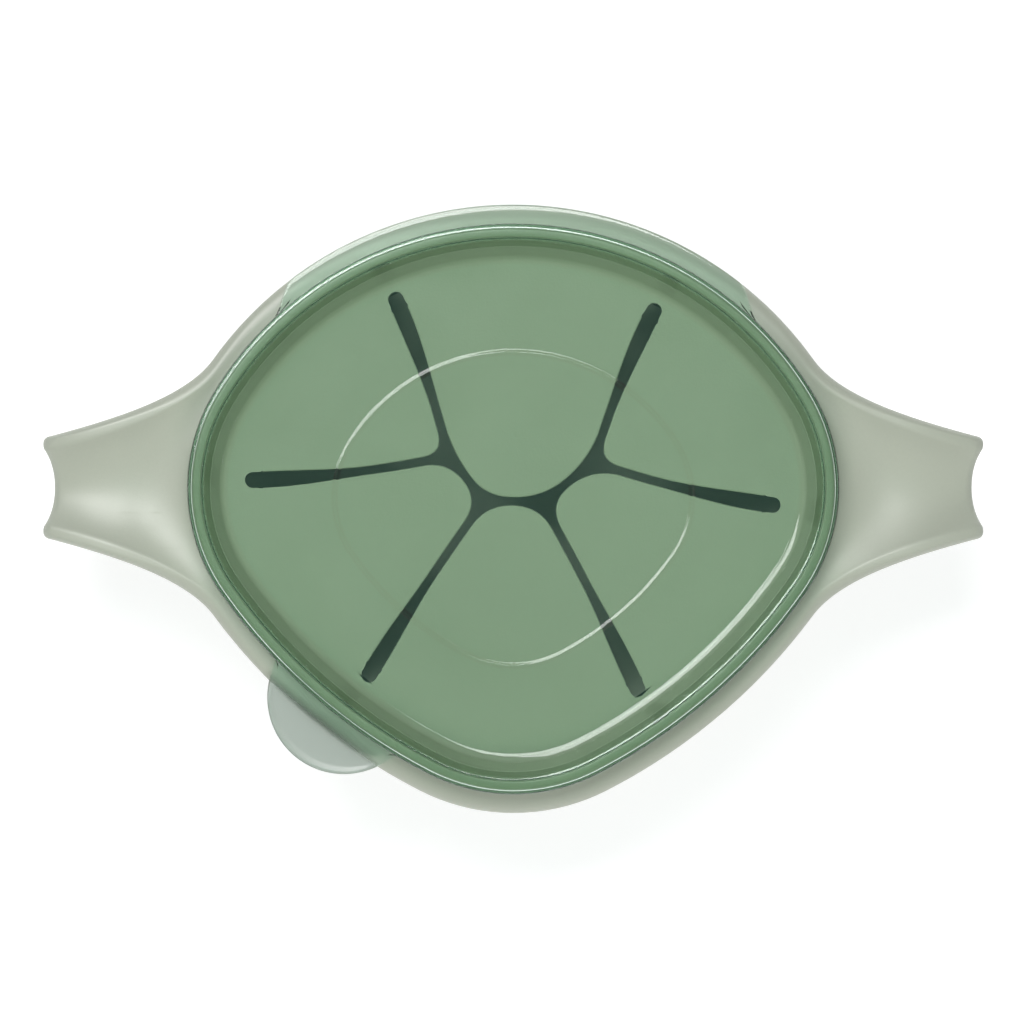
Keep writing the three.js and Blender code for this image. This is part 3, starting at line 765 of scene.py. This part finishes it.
class Star:
    """The branched slits of the silicone dish and the flaps between them."""

    # A slit narrows between these distances from its end.
    neck_from = 4 * MM
    neck_to = 28 * MM

    def __init__(self, egg):
        _, _, self.lid = sizes()
        self.junctions = [Vector((x * MM, egg.middle + y * MM)) for x, y in JUNCTIONS]
        self.ends = {}
        for name, (direction, _, _) in SLITS.items():
            inset = self.lid.side_slit_inset if name in ("right", "left") else self.lid.slit_inset
            self.ends[name] = egg.edge(math.radians(direction), -inset)

    def path(self, first, last):
        """Curves down the middle of the slits from one slit's end to the next one's."""
        (_, joins, bow_first), (_, leaves, bow_last) = SLITS[first], SLITS[last]
        step = 1 if leaves > joins else -1
        between = self.junctions[joins : leaves + step if leaves + step >= 0 else None : step]
        corners = [self.ends[first], *between, self.ends[last]]
        curves = []
        here = corners[0]
        for i in range(1, len(corners) - 1):
            before, corner, after = corners[i - 1 : i + 2]
            spare = min((before - corner).length, (after - corner).length) / 2
            reach = min(self.lid.tip_round, spare)
            start = corner + (before - corner).normalized() * reach
            end = corner + (after - corner).normalized() * reach
            if (start - here).length > 0.01 * MM:
                curves.append(self.bowed(here, start, bow_first if i == 1 else 0))
            curves.append((start, corner, end))
            here = end
        curves.append(self.bowed(here, self.ends[last], -bow_last))
        return curves

    @staticmethod
    def bowed(a, b, bow):
        along = (b - a).normalized()
        return a, a.lerp(b, 0.5) + Vector((-along.y, along.x)) * bow * MM, b

    def root(self, first, last):
        """The hinge line's start, and the way out from the middle."""
        start, end = self.ends[first], self.ends[last]
        along = (end - start).normalized()
        return start, Vector((along.y, -along.x))

    def flap(self, first, last):
        """A flap's outline, along its slits and straight across its root."""
        start, outwards = self.root(first, last)
        trail = []
        for curve in self.path(first, last):
            count = max(5, round((curve[-1] - curve[0]).length / (1.2 * MM)))
            for share in shares(count):
                centre = bezier(curve, share)
                along = bezier(curve, min(1, share + 0.01)) - bezier(curve, max(0, share - 0.01))
                aside = Vector((along.y, -along.x)).normalized()
                away = min((centre - self.ends[name]).length for name in (first, last))
                neck = smooth(away, self.neck_from, self.neck_to)
                width = self.lid.slit_width + (self.lid.slit_neck - self.lid.slit_width) * neck
                trail.append(centre + aside * width / 2)
        points = []
        for here, after in zip(trail, trail[1:]):
            out, next_out = (here - start).dot(outwards), (after - start).dot(outwards)
            if out * next_out < 0:
                points.append(here.lerp(after, out / (out - next_out)))
            if next_out < 0:
                points.append(after)
        kept = points[:1]
        for point in points[1:-1]:
            if min((point - other).length for other in (kept[-1], points[-1])) > 0.4 * MM:
                kept.append(point)
        return kept + points[-1:]

    def hole(self):
        """The dish's inner edge, by the direction that the lid's edge faces there: straight along
        every hinge line and round every slit's end."""
        spread = math.radians(4)
        half = self.lid.slit_width / 2
        points = {}
        for i, (_, _, first, last) in enumerate(FLAPS):
            before = FLAPS[i - 1]
            arrive, leave = self.flap(before[2], before[3])[-1], self.flap(first, last)[0]
            far = self.flap(first, last)[-1]
            end = self.ends[first]
            inwards = bezier(self.path(first, last)[0], 0.02) - end
            turned = [math.atan2(*(point - end).yx) for point in (arrive, leave)]
            turn = (turned[1] - turned[0]) % (2 * math.pi)
            aim, next_aim = (math.radians(SLITS[name][0]) for name in (first, last))
            next_aim += 2 * math.pi * (next_aim < aim)
            points[aim - spread] = arrive
            for share in shares(16)[1:-1]:
                spoke = facing(turned[0] + turn * share)
                across = spoke.angle(inwards)
                reach = half / math.sin(across) if across < math.pi / 2 else half
                points[aim + spread * (2 * share - 1)] = end + spoke * reach
            low, high = aim + spread, next_aim - spread
            for share in shares(math.ceil((high - low) / math.radians(1.1)))[:-1]:
                points[low + (high - low) * share] = leave.lerp(far, share)
        return points


def build_membrane():
    """The silicone dish: a sloped wall and a flat floor, open where the flaps are."""
    egg = Egg()
    _, _, lid = sizes()
    thickness = SILICONE_TOP - SILICONE_BOTTOM
    face = recess_face(lid, lid.cover_thickness + CLEARANCE)
    back = recess_face(lid, lid.cover_thickness + CLEARANCE + thickness)
    top = FRAME_HIGH.z - lid.frame_bond + 0.2 * MM
    corners = [
        (back(SILICONE_BOTTOM) - 3 * MM, SILICONE_BOTTOM, 0),
        (back(SILICONE_BOTTOM), SILICONE_BOTTOM, 2 * MM),
        (back(top), top, 0.2 * MM),
        (face(top), top, 0.2 * MM),
        (face(SILICONE_TOP), SILICONE_TOP, 2 * MM),
        (face(SILICONE_TOP) - 3.4 * MM, SILICONE_TOP, 0),
    ]
    hole = Star(egg).hole()

    def hole_edge(height):
        return lambda direction: (*hole[direction], height)

    stations = [hole_edge(SILICONE_BOTTOM), *egg.rings(rounded(corners)), hole_edge(SILICONE_TOP)]
    piece = shell("slit_dish", list(hole), stations, closed=True, crease=30)
    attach(piece, "snack_lid")
    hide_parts("lid_membrane")
    piece.data.materials.append(green_silicone())


def build_flaps():
    """Six petals, each bending from its hinge line over the first few millimetres."""
    star = Star(Egg())
    bend = 7 * MM
    for node, body, first, last in FLAPS:
        start, outwards = star.root(first, last)
        bm = bmesh.new()
        outline_face(bm, star.flap(first, last), SILICONE_BOTTOM)
        lift(bm, bm.faces[:], SILICONE_TOP - SILICONE_BOTTOM)
        on_root = {vert for vert in bm.verts if abs((vert.co.xy - start).dot(outwards)) < 0.01 * MM}
        rims = [edge for edge in bm.edges if not on_root & set(edge.verts) and level(edge)]
        rounds = set(soften(bm, rims, 0.3 * MM, 3))
        for edge in bm.edges:
            edge.smooth = len(rounds & set(edge.link_faces)) != 1
        # Close cuts near the hinge line, then wider ones.
        for step in range(1, 22):
            inward = bend * step / 12 if step < 14 else bend * 1.15 + (step - 13) * 4 * MM
            spot = start - outwards * inward
            cut(bm, (spot.x, spot.y, 0), (outwards.x, outwards.y, 0))
        piece = finished(bm, node.replace("flap", "petal"), 50)
        hinge = start.lerp(star.ends[last], 0.5)
        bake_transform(piece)
        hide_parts(node)
        piece.data.materials.append(green_silicone())


# Clear cover.


def soft_max(a, b, reach):
    blend = max(0, reach - abs(a - b)) / reach
    return max(a, b) + blend * blend * reach / 4


def build_cover():
    egg = Egg()
    _, _, lid = sizes()
    flange_from, flange_to, ramp = (math.radians(angle) for angle in (49, 130, 3.3))
    tab_blend = 2.5 * MM
    curl_from, curl_rate = 1.6 * MM, 0.02 / MM
    tab_bead = 0.35 * MM
    mark_roundness = 0.45
    mark_middle = 8 * MM
    tab_centre = egg.edge(TAB_DIRECTION, -lid.tab_inset)
    under = SHOULDER_TOP + 0.6 * MM
    over = under + lid.cover_thickness
    floor = COVER_TOP - lid.recess_depth
    thick = lid.cover_thickness

    def reach(direction):
        """How far the lower edge reaches beyond the lid's outline."""
        turned = direction % (2 * math.pi)
        rise = smooth(turned, flange_from - ramp, flange_from + ramp)
        fall = 1 - smooth(turned, flange_to - ramp, flange_to + ramp)
        back = lid.bead_reach + (lid.flange_reach - lid.bead_reach) * min(rise, fall)
        foot = egg.edge(direction)
        along = (tab_centre - foot).dot(facing(direction))
        across = (tab_centre - foot - facing(direction) * along).length
        tab = -lid.tab_radius
        if across < lid.tab_radius:
            tab = along + math.sqrt(lid.tab_radius**2 - across**2)
        return soft_max(back, tab, tab_blend)

    def edge(inset, height, share=None):
        """A station of the lower edge, inset from its outer line or at a share of its reach."""

        def station(direction):
            whole = reach(direction)
            out = whole * share if share is not None else whole - min(inset, 0.8 * whole)
            at_back = math.sin(direction) > 0
            curl = max(0, out - curl_from) ** 2 * curl_rate if at_back else 0
            bead = 0 if at_back else tab_bead * smooth(whole, 5 * MM, 9 * MM)
            rim = bead * (1 - smooth(whole - out, 0.7 * MM, 2 * MM)) if height > under + thick / 2 else 0
            return (*egg.edge(direction, out), height - curl + rim)

        return station

    face = recess_face(lid, 0)
    back = recess_face(lid, thick)
    below = floor - thick
    crest_under = COVER_TOP - thick
    inside = rounded(
        [
            (back(below) - 4 * MM, below, 0),
            (back(below), below, 4.4 * MM),
            (back(crest_under), crest_under, 0.5 * MM),
            (-thick, crest_under, 0.4 * MM),
            (-thick, under, 0),
        ]
    )
    outside = rounded(
        [
            (0, over + 0.02 * MM, 0),
            (0, COVER_TOP, 1 * MM),
            (-lid.crest_width, COVER_TOP, 0.9 * MM),
            (face(floor), floor, 3.6 * MM),
            (face(floor) - 4 * MM, floor, 0),
        ],
        8,
    )
    half = thick / 2
    lip = [math.radians(angle) for angle in range(-90, 91, 18)]
    stations = [egg.disc(radius, below) for radius in (0, mark_middle)]
    stations += [egg.ring(mark_roundness, 0, 0, below)]
    stations += egg.rings(inside)
    stations += [edge(0, under, share) for share in (0.25, 0.5, 0.72)]
    stations += [
        edge(half * (1 - math.cos(angle)), under + half + half * math.sin(angle)) for angle in lip
    ]
    stations += [edge(inset * MM, over) for inset in (0.8, 1.2, 1.7, 2.3)]
    stations += [edge(0, over, share) for share in (0.3, 0.12)]
    stations += egg.rings(outside)
    for share in (-1.4, *shares(8, -1, 1), 1.4):
        height = floor + lid.rib_height * max(0, 1 - share**2) ** 2
        stations.append(egg.ring(mark_roundness, 0, -share * lid.rib_width / 2, height))
    stations += [egg.disc(radius, floor) for radius in (mark_middle, 0)]
    span = (TAB_DIRECTION - math.radians(9), TAB_DIRECTION + math.radians(9), 110)
    piece = shell("cover_moulding", egg.directions(0.9 * MM, [span]), stations, crease=60)
    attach(piece, "cover")
    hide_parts("clear_cover")
    piece.data.materials.append(clear_plastic())


# Finishes.

RELIEF_DEPTH = 0.1 * MM


def fill(tree, made, inputs):
    """Gives a node's inputs their values or links."""
    for key, value in inputs.items():
        if isinstance(value, bpy.types.NodeSocket):
            tree.links.new(value, made.inputs[key])
        else:
            made.inputs[key].default_value = value


def node(tree, kind, inputs, **settings):
    """Adds a node, sets its properties and fills its inputs."""
    made = tree.nodes.new(kind)
    for key, value in settings.items():
        setattr(made, key, value)
    fill(tree, made, inputs)
    return made


def maths(tree, operation, *values, clamp=False):
    """The result of a Math node."""
    inputs = dict(enumerate(values))
    return node(tree, "ShaderNodeMath", inputs, operation=operation, use_clamp=clamp).outputs[0]


def noise(tree, vector, scale, detail, roughness=0.5, distortion=0.0):
    inputs = {
        "Vector": vector,
        "Scale": scale,
        "Detail": detail,
        "Roughness": roughness,
        "Distortion": distortion,
    }
    return node(tree, "ShaderNodeTexNoise", inputs).outputs["Fac"]


def remap(tree, value, spans, kind="LINEAR"):
    """A Map Range node's result, with spans of from-low, from-high, to-low, to-high."""
    names = ("From Min", "From Max", "To Min", "To Max")
    inputs = {"Value": value, **dict(zip(names, spans))}
    return node(tree, "ShaderNodeMapRange", inputs, interpolation_type=kind).outputs[0]


def blend_colours(tree, factor, a, b):
    inputs = {"Factor": factor, "A": (*a, 1), "B": (*b, 1)}
    return node(tree, "ShaderNodeMix", inputs, data_type="RGBA").outputs[2]


def group(name, inputs, outputs):
    """Starts a shared shader node group, or gives None if it is built already."""
    if name in bpy.data.node_groups:
        return None
    tree = bpy.data.node_groups.new(name, "ShaderNodeTree")
    sockets = {"Vector": ("NodeSocketVector", None), "Color": ("NodeSocketColor", (0.5, 0.5, 0.5, 1))}
    for label, default in inputs.items():
        kind, usual = sockets.get(label, ("NodeSocketFloat", default))
        socket = tree.interface.new_socket(name=label, in_out="INPUT", socket_type=kind)
        if usual is not None:
            socket.default_value = usual
    for label in outputs:
        kind = sockets.get(label, ("NodeSocketFloat", None))[0]
        tree.interface.new_socket(name=label, in_out="OUTPUT", socket_type=kind)
    return tree


def use_group(tree, name, inputs):
    return node(tree, "ShaderNodeGroup", inputs, node_tree=bpy.data.node_groups[name])


def build_pigment_group():
    """Pigment that is not quite evenly stirred: broad clouds and fine specks of shade."""
    inputs = {"Vector": None, "Color": None, "Cloud Scale": 18.0, "Clouds": 0.05, "Specks": 0.03}
    tree = group("Moulded Pigment", inputs, ["Color"])
    if tree is None:
        return
    given = tree.nodes.new("NodeGroupInput").outputs
    clouds = noise(tree, given["Vector"], given["Cloud Scale"], 3.0, roughness=0.55)
    specks = noise(tree, given["Vector"], 1400.0, 2.0)
    parts = []
    for pattern, strength in ((clouds, "Clouds"), (specks, "Specks")):
        centred = maths(tree, "SUBTRACT", pattern, 0.5)
        parts.append(maths(tree, "MULTIPLY", centred, given[strength]))
    both = maths(tree, "ADD", *parts)
    value = maths(tree, "MULTIPLY_ADD", both, 2.0, 1.0)
    tinted = node(tree, "ShaderNodeHueSaturation", {"Color": given["Color"], "Value": value})
    node(tree, "NodeGroupOutput", {"Color": tinted.outputs["Color"]})


def build_grain_group():
    """Fine spark-eroded mould grain over a slow waviness from shrinkage."""
    inputs = {"Vector": None, "Grain Scale": 2600.0, "Grain": 0.5, "Waves": 0.5}
    tree = group("Mould Grain", inputs, ["Height"])
    if tree is None:
        return
    given = tree.nodes.new("NodeGroupInput").outputs
    grain = noise(tree, given["Vector"], given["Grain Scale"], 2.0, roughness=0.6)
    waves = noise(tree, given["Vector"], 60.0, 1.0)
    fine = maths(tree, "MULTIPLY", grain, given["Grain"])
    height = maths(tree, "MULTIPLY_ADD", waves, given["Waves"], fine)
    node(tree, "NodeGroupOutput", {"Height": height})


def build_handling_group():
    """Gloss that handling has changed: soft smudges and a few hairline rubs."""
    inputs = {"Vector": None, "Roughness": 0.4, "Smudges": 0.08, "Hairlines": 0.1}
    tree = group("Handling Marks", inputs, ["Roughness"])
    if tree is None:
        return
    given = tree.nodes.new("NodeGroupInput").outputs
    smudge = noise(tree, given["Vector"], 34.0, 4.0, distortion=0.6)
    smudge = remap(tree, smudge, (0.4, 0.68, -0.4, 1.0))
    stretch = {"Vector": given["Vector"], "Rotation": (0.2, 0.1, 0.7), "Scale": (30.0, 900.0, 900.0)}
    stretched = node(tree, "ShaderNodeMapping", stretch).outputs[0]
    hair = remap(tree, noise(tree, stretched, 1.0, 1.0), (0.68, 0.76, 0.0, 1.0))
    smudged = maths(tree, "MULTIPLY_ADD", smudge, given["Smudges"], given["Roughness"])
    rubbed = maths(tree, "MULTIPLY_ADD", hair, given["Hairlines"], smudged, clamp=True)
    node(tree, "NodeGroupOutput", {"Roughness": rubbed})


def blank(name):
    """A new material, with its tree, its shader and the place on the object."""
    for build in (build_pigment_group, build_grain_group, build_handling_group):
        build()
    material = bpy.data.materials.new(name)
    material.use_nodes = True
    tree = material.node_tree
    place = tree.nodes.new("ShaderNodeTexCoord").outputs["Object"]
    return material, tree, tree.nodes["Principled BSDF"], place


def relief(tree, grain, strength):
    inputs = {"Height": grain.outputs["Height"], "Strength": strength, "Distance": RELIEF_DEPTH}
    return node(tree, "ShaderNodeBump", inputs).outputs["Normal"]


def plastic(name, colour, pigment, marks, grain, strength, shader):
    """A solid plastic or rubber, from its pigment, handling marks, mould grain and shader values."""
    if name in bpy.data.materials:
        return bpy.data.materials[name]
    material, tree, principled, place = blank(name)
    tint = use_group(tree, "Moulded Pigment", {"Vector": place, "Color": (*colour, 1), **pigment})
    gloss = use_group(tree, "Handling Marks", {"Vector": place, **marks})
    height = use_group(tree, "Mould Grain", {"Vector": place, **grain})
    surface = {
        "Base Color": tint.outputs["Color"],
        "Roughness": gloss.outputs["Roughness"],
        "Normal": relief(tree, height, strength),
    }
    fill(tree, principled, {**surface, **shader})
    return material


def sage_plastic():
    """Satin polypropylene of the bowl."""
    return plastic(
        "sage_polypropylene",
        bpy.context.scene.finishes.sage,
        pigment={"Cloud Scale": 16.0, "Clouds": 0.05, "Specks": 0.025},
        marks={"Roughness": 0.46, "Smudges": 0.07, "Hairlines": 0.12},
        grain={"Grain Scale": 2400.0, "Grain": 0.5, "Waves": 0.9},
        strength=0.35,
        shader={"IOR": 1.49},
    )


def green_plastic():
    """Glossier polypropylene of the snack lid's ring."""
    return plastic(
        "green_polypropylene",
        bpy.context.scene.finishes.green,
        pigment={"Cloud Scale": 20.0, "Clouds": 0.05, "Specks": 0.02},
        marks={"Roughness": 0.3, "Smudges": 0.06, "Hairlines": 0.12},
        grain={"Grain Scale": 2600.0, "Grain": 0.4, "Waves": 0.8},
        strength=0.3,
        shader={"IOR": 1.49},
    )


def green_silicone():
    """Matt, faintly powdery silicone rubber."""
    return plastic(
        "green_silicone_rubber",
        bpy.context.scene.finishes.silicone,
        pigment={"Cloud Scale": 14.0, "Clouds": 0.06, "Specks": 0.035},
        marks={"Roughness": 0.62, "Smudges": 0.1, "Hairlines": 0.05},
        grain={"Grain Scale": 1800.0, "Grain": 0.8, "Waves": 1.0},
        strength=0.5,
        shader={"IOR": 1.43, "Sheen Weight": 0.12, "Sheen Roughness": 0.5},
    )


def clear_plastic():
    """Clear moulded plastic with faint flow lines and a matt grip on the free half of its tab.
    Shadow rays and diffuse rays pass straight through it and take only its tint."""
    name = "clear_moulded_plastic"
    if name in bpy.data.materials:
        return bpy.data.materials[name]
    scene = bpy.context.scene
    material, tree, principled, place = blank(name)
    surface = tree.nodes["Material Output"]
    outwards = facing(TAB_DIRECTION)
    body_edge = Egg().edge(TAB_DIRECTION, scene.egg_shape.band_width).dot(outwards)
    along = node(tree, "ShaderNodeVectorMath", {0: place, 1: (*outwards, 0)}, operation="DOT_PRODUCT")
    # Painted shade: past the body's edge the tab blends to a darker colour standing in for the shadowed
    # floor under it; the same mask adds real roughness.
    shade_and_matt_span = (body_edge - 2.4 * MM, body_edge - 0.4 * MM)
    free = remap(tree, along.outputs["Value"], shade_and_matt_span, "SMOOTHSTEP")
    shade = blend_colours(tree, free, scene.finishes.clear, scene.finishes.painted_tab_shade)
    pigment = {"Vector": place, "Color": shade, "Cloud Scale": 9.0, "Clouds": 0.02, "Specks": 0.0}
    tint = use_group(tree, "Moulded Pigment", pigment).outputs["Color"]
    marks = {"Vector": place, "Roughness": 0.03, "Smudges": 0.015, "Hairlines": 0.03}
    gloss = use_group(tree, "Handling Marks", marks).outputs["Roughness"]
    waves = use_group(tree, "Mould Grain", {"Vector": place, "Grain": 0.0, "Waves": 1.0})
    fill(
        tree,
        principled,
        {
            "Base Color": tint,
            "Roughness": maths(tree, "MULTIPLY_ADD", free, 0.3, gloss),
            "Normal": relief(tree, waves, 0.1),
            "Transmission Weight": 1.0,
            "IOR": 1.47,
        },
    )
    straight = node(tree, "ShaderNodeBsdfTransparent", {"Color": tint}).outputs[0]
    ray = tree.nodes.new("ShaderNodeLightPath").outputs
    lit = maths(tree, "MAXIMUM", ray["Is Shadow Ray"], ray["Is Diffuse Ray"])
    mix = node(tree, "ShaderNodeMixShader", {0: lit, 1: principled.outputs[0], 2: straight})
    depth = node(tree, "ShaderNodeVolumeAbsorption", {"Color": (0.1, 0.62, 0.3, 1), "Density": 110.0})
    fill(tree, surface, {"Surface": mix.outputs[0], "Volume": depth.outputs[0]})
    return material


# Stage.


def floor_material():
    material, tree, principled, place = blank("pale_floor")
    colour = (*bpy.context.scene.finishes.floor, 1)
    pigment = {"Vector": place, "Color": colour, "Cloud Scale": 3.0, "Clouds": 0.01, "Specks": 0.0}
    paint = use_group(tree, "Moulded Pigment", pigment)
    fill(
        tree,
        principled,
        {
            "Base Color": paint.outputs["Color"],
            "Roughness": 0.9,
            "Specular IOR Level": 0.1,
            "Emission Color": (1, 1, 1, 1),
            "Emission Strength": 0.6,
        },
    )
    return material


def soft_room(strength):
    """Even light from all round, with a green patch overhead that the flat cover mirrors."""
    world = bpy.data.worlds.new("soft_room")
    world.use_nodes = True
    sky = world.node_tree
    place = sky.nodes.new("ShaderNodeTexCoord").outputs["Generated"]
    height = node(sky, "ShaderNodeSeparateXYZ", {0: place}).outputs["Z"]
    overhead = remap(sky, height, (0.9, 0.975), "SMOOTHSTEP")
    shade = blend_colours(sky, overhead, (0.97, 0.985, 1), (1.0, 2.0, 1.65))
    fill(sky, sky.nodes["Background"], {"Color": shade, "Strength": strength})
    return world


def lamp(name, power, size, aim, distance, diffuse=True, glossy=True):
    """A soft box that looks at the bowl from an aim in degrees: azimuth (0 is +X, 90 the back) and
    elevation."""
    light = bpy.data.lights.new(name, "AREA")
    light.shape = "RECTANGLE"
    light.size, light.size_y = size
    light.energy = power
    holder = bpy.data.objects.new(name, light)
    bpy.context.scene.collection.objects.link(holder)
    azimuth, elevation = (math.radians(angle) for angle in aim)
    flat = facing(azimuth) * math.cos(elevation)
    towards = Vector((flat.x, flat.y, math.sin(elevation)))
    holder.location = towards * distance + UP * SHOULDER_TOP
    holder.rotation_euler = towards.to_track_quat("Z", "Y").to_euler()
    holder.visible_diffuse = diffuse
    holder.visible_glossy = glossy
    holder.visible_transmission = False


def build_stage():
    scene = bpy.context.scene
    settings = scene.stage_settings
    bm = bmesh.new()
    bmesh.ops.create_circle(bm, cap_ends=True, segments=96, radius=4)
    floor = finished(bm, "floor")
    floor.data.materials.append(floor_material())
    floor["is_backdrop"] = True
    scene.world = soft_room(settings.sky)

    lamp("key_box", settings.key_power, (0.55, 0.36), (105, 67), 1.0)
    lamp("edge_box", settings.edge_power, (0.7, 0.42), (130, 45), 0.8, diffuse=False)
    lamp("fill_box", settings.fill_power, (0.6, 0.4), (-90, 42), 1.2, glossy=False)

    camera = bpy.data.cameras.new("camera")
    camera.lens = settings.lens
    camera.clip_end = 20
    holder = bpy.data.objects.new("camera", camera)
    scene.collection.objects.link(holder)
    distance = settings.picture_span * camera.lens / camera.sensor_width
    holder.location = (-0.3 * MM, -0.7 * MM, SHOULDER_TOP + distance)
    scene.camera = holder
    scene.view_settings.view_transform = "Standard"


# Add-on.


def operator(name, label, text, action):
    """Makes the operator class that runs one build step."""

    def execute(self, context):
        action()
        return {"FINISHED"}

    members = {
        "__doc__": text,
        "bl_idname": f"suction_bowl.{name}",
        "bl_label": label,
        "execute": execute,
    }
    return type(f"SUCTIONBOWL_OT_{name}", (bpy.types.Operator,), members)


OPERATORS = (
    operator("stage", "Stage", "Set up the floor, lights and camera", build_stage),
    operator("base", "Suction Base", "Build the suction cup under the bowl", build_base),
    operator("release_tab", "Release Tab", "Build the tongue that breaks the suction", build_release_tab),
    operator("bowl", "Bowl", "Build the bowl with its shoulder and handles", build_bowl),
    operator("lid_ring", "Lid Ring", "Build the snack lid's stiff ring", build_lid_frame),
    operator("slit_dish", "Slit Dish", "Build the snack lid's silicone dish", build_membrane),
    operator("petals", "Petals", "Build the six silicone flaps", build_flaps),
    operator("cover", "Clear Cover", "Build the clear snap-on cover", build_cover),
)


class SUCTIONBOWL_PT_sidebar(bpy.types.Panel):
    """Lists the steps that build the suction bowl."""

    bl_label = "Suction Bowl"
    bl_space_type = "VIEW_3D"
    bl_region_type = "UI"
    bl_category = "Suction Bowl"

    def draw(self, context):
        for step in OPERATORS:
            self.layout.operator(step.bl_idname)


GROUPS = {
    "egg_shape": EggShape,
    "bowl_shape": BowlShape,
    "lid_shape": LidShape,
    "finishes": Finishes,
    "stage_settings": StageSettings,
}


def register():
    for owner in (*GROUPS.values(), *OPERATORS, SUCTIONBOWL_PT_sidebar):
        bpy.utils.register_class(owner)
    for name, owner in GROUPS.items():
        setattr(bpy.types.Scene, name, PointerProperty(type=owner))


def unregister():
    for name in GROUPS:
        delattr(bpy.types.Scene, name)
    for owner in (SUCTIONBOWL_PT_sidebar, *OPERATORS, *GROUPS.values()):
        bpy.utils.unregister_class(owner)


def main():
    register()
    for step in OPERATORS:
        getattr(bpy.ops.suction_bowl, step.bl_idname.split(".")[1])()
    boxes = {"cad": CAD_BOX, "visual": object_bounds()}
    lists = {name: [list(corner) for corner in box] for name, box in boxes.items()}


if __name__ == "__main__":
    main()
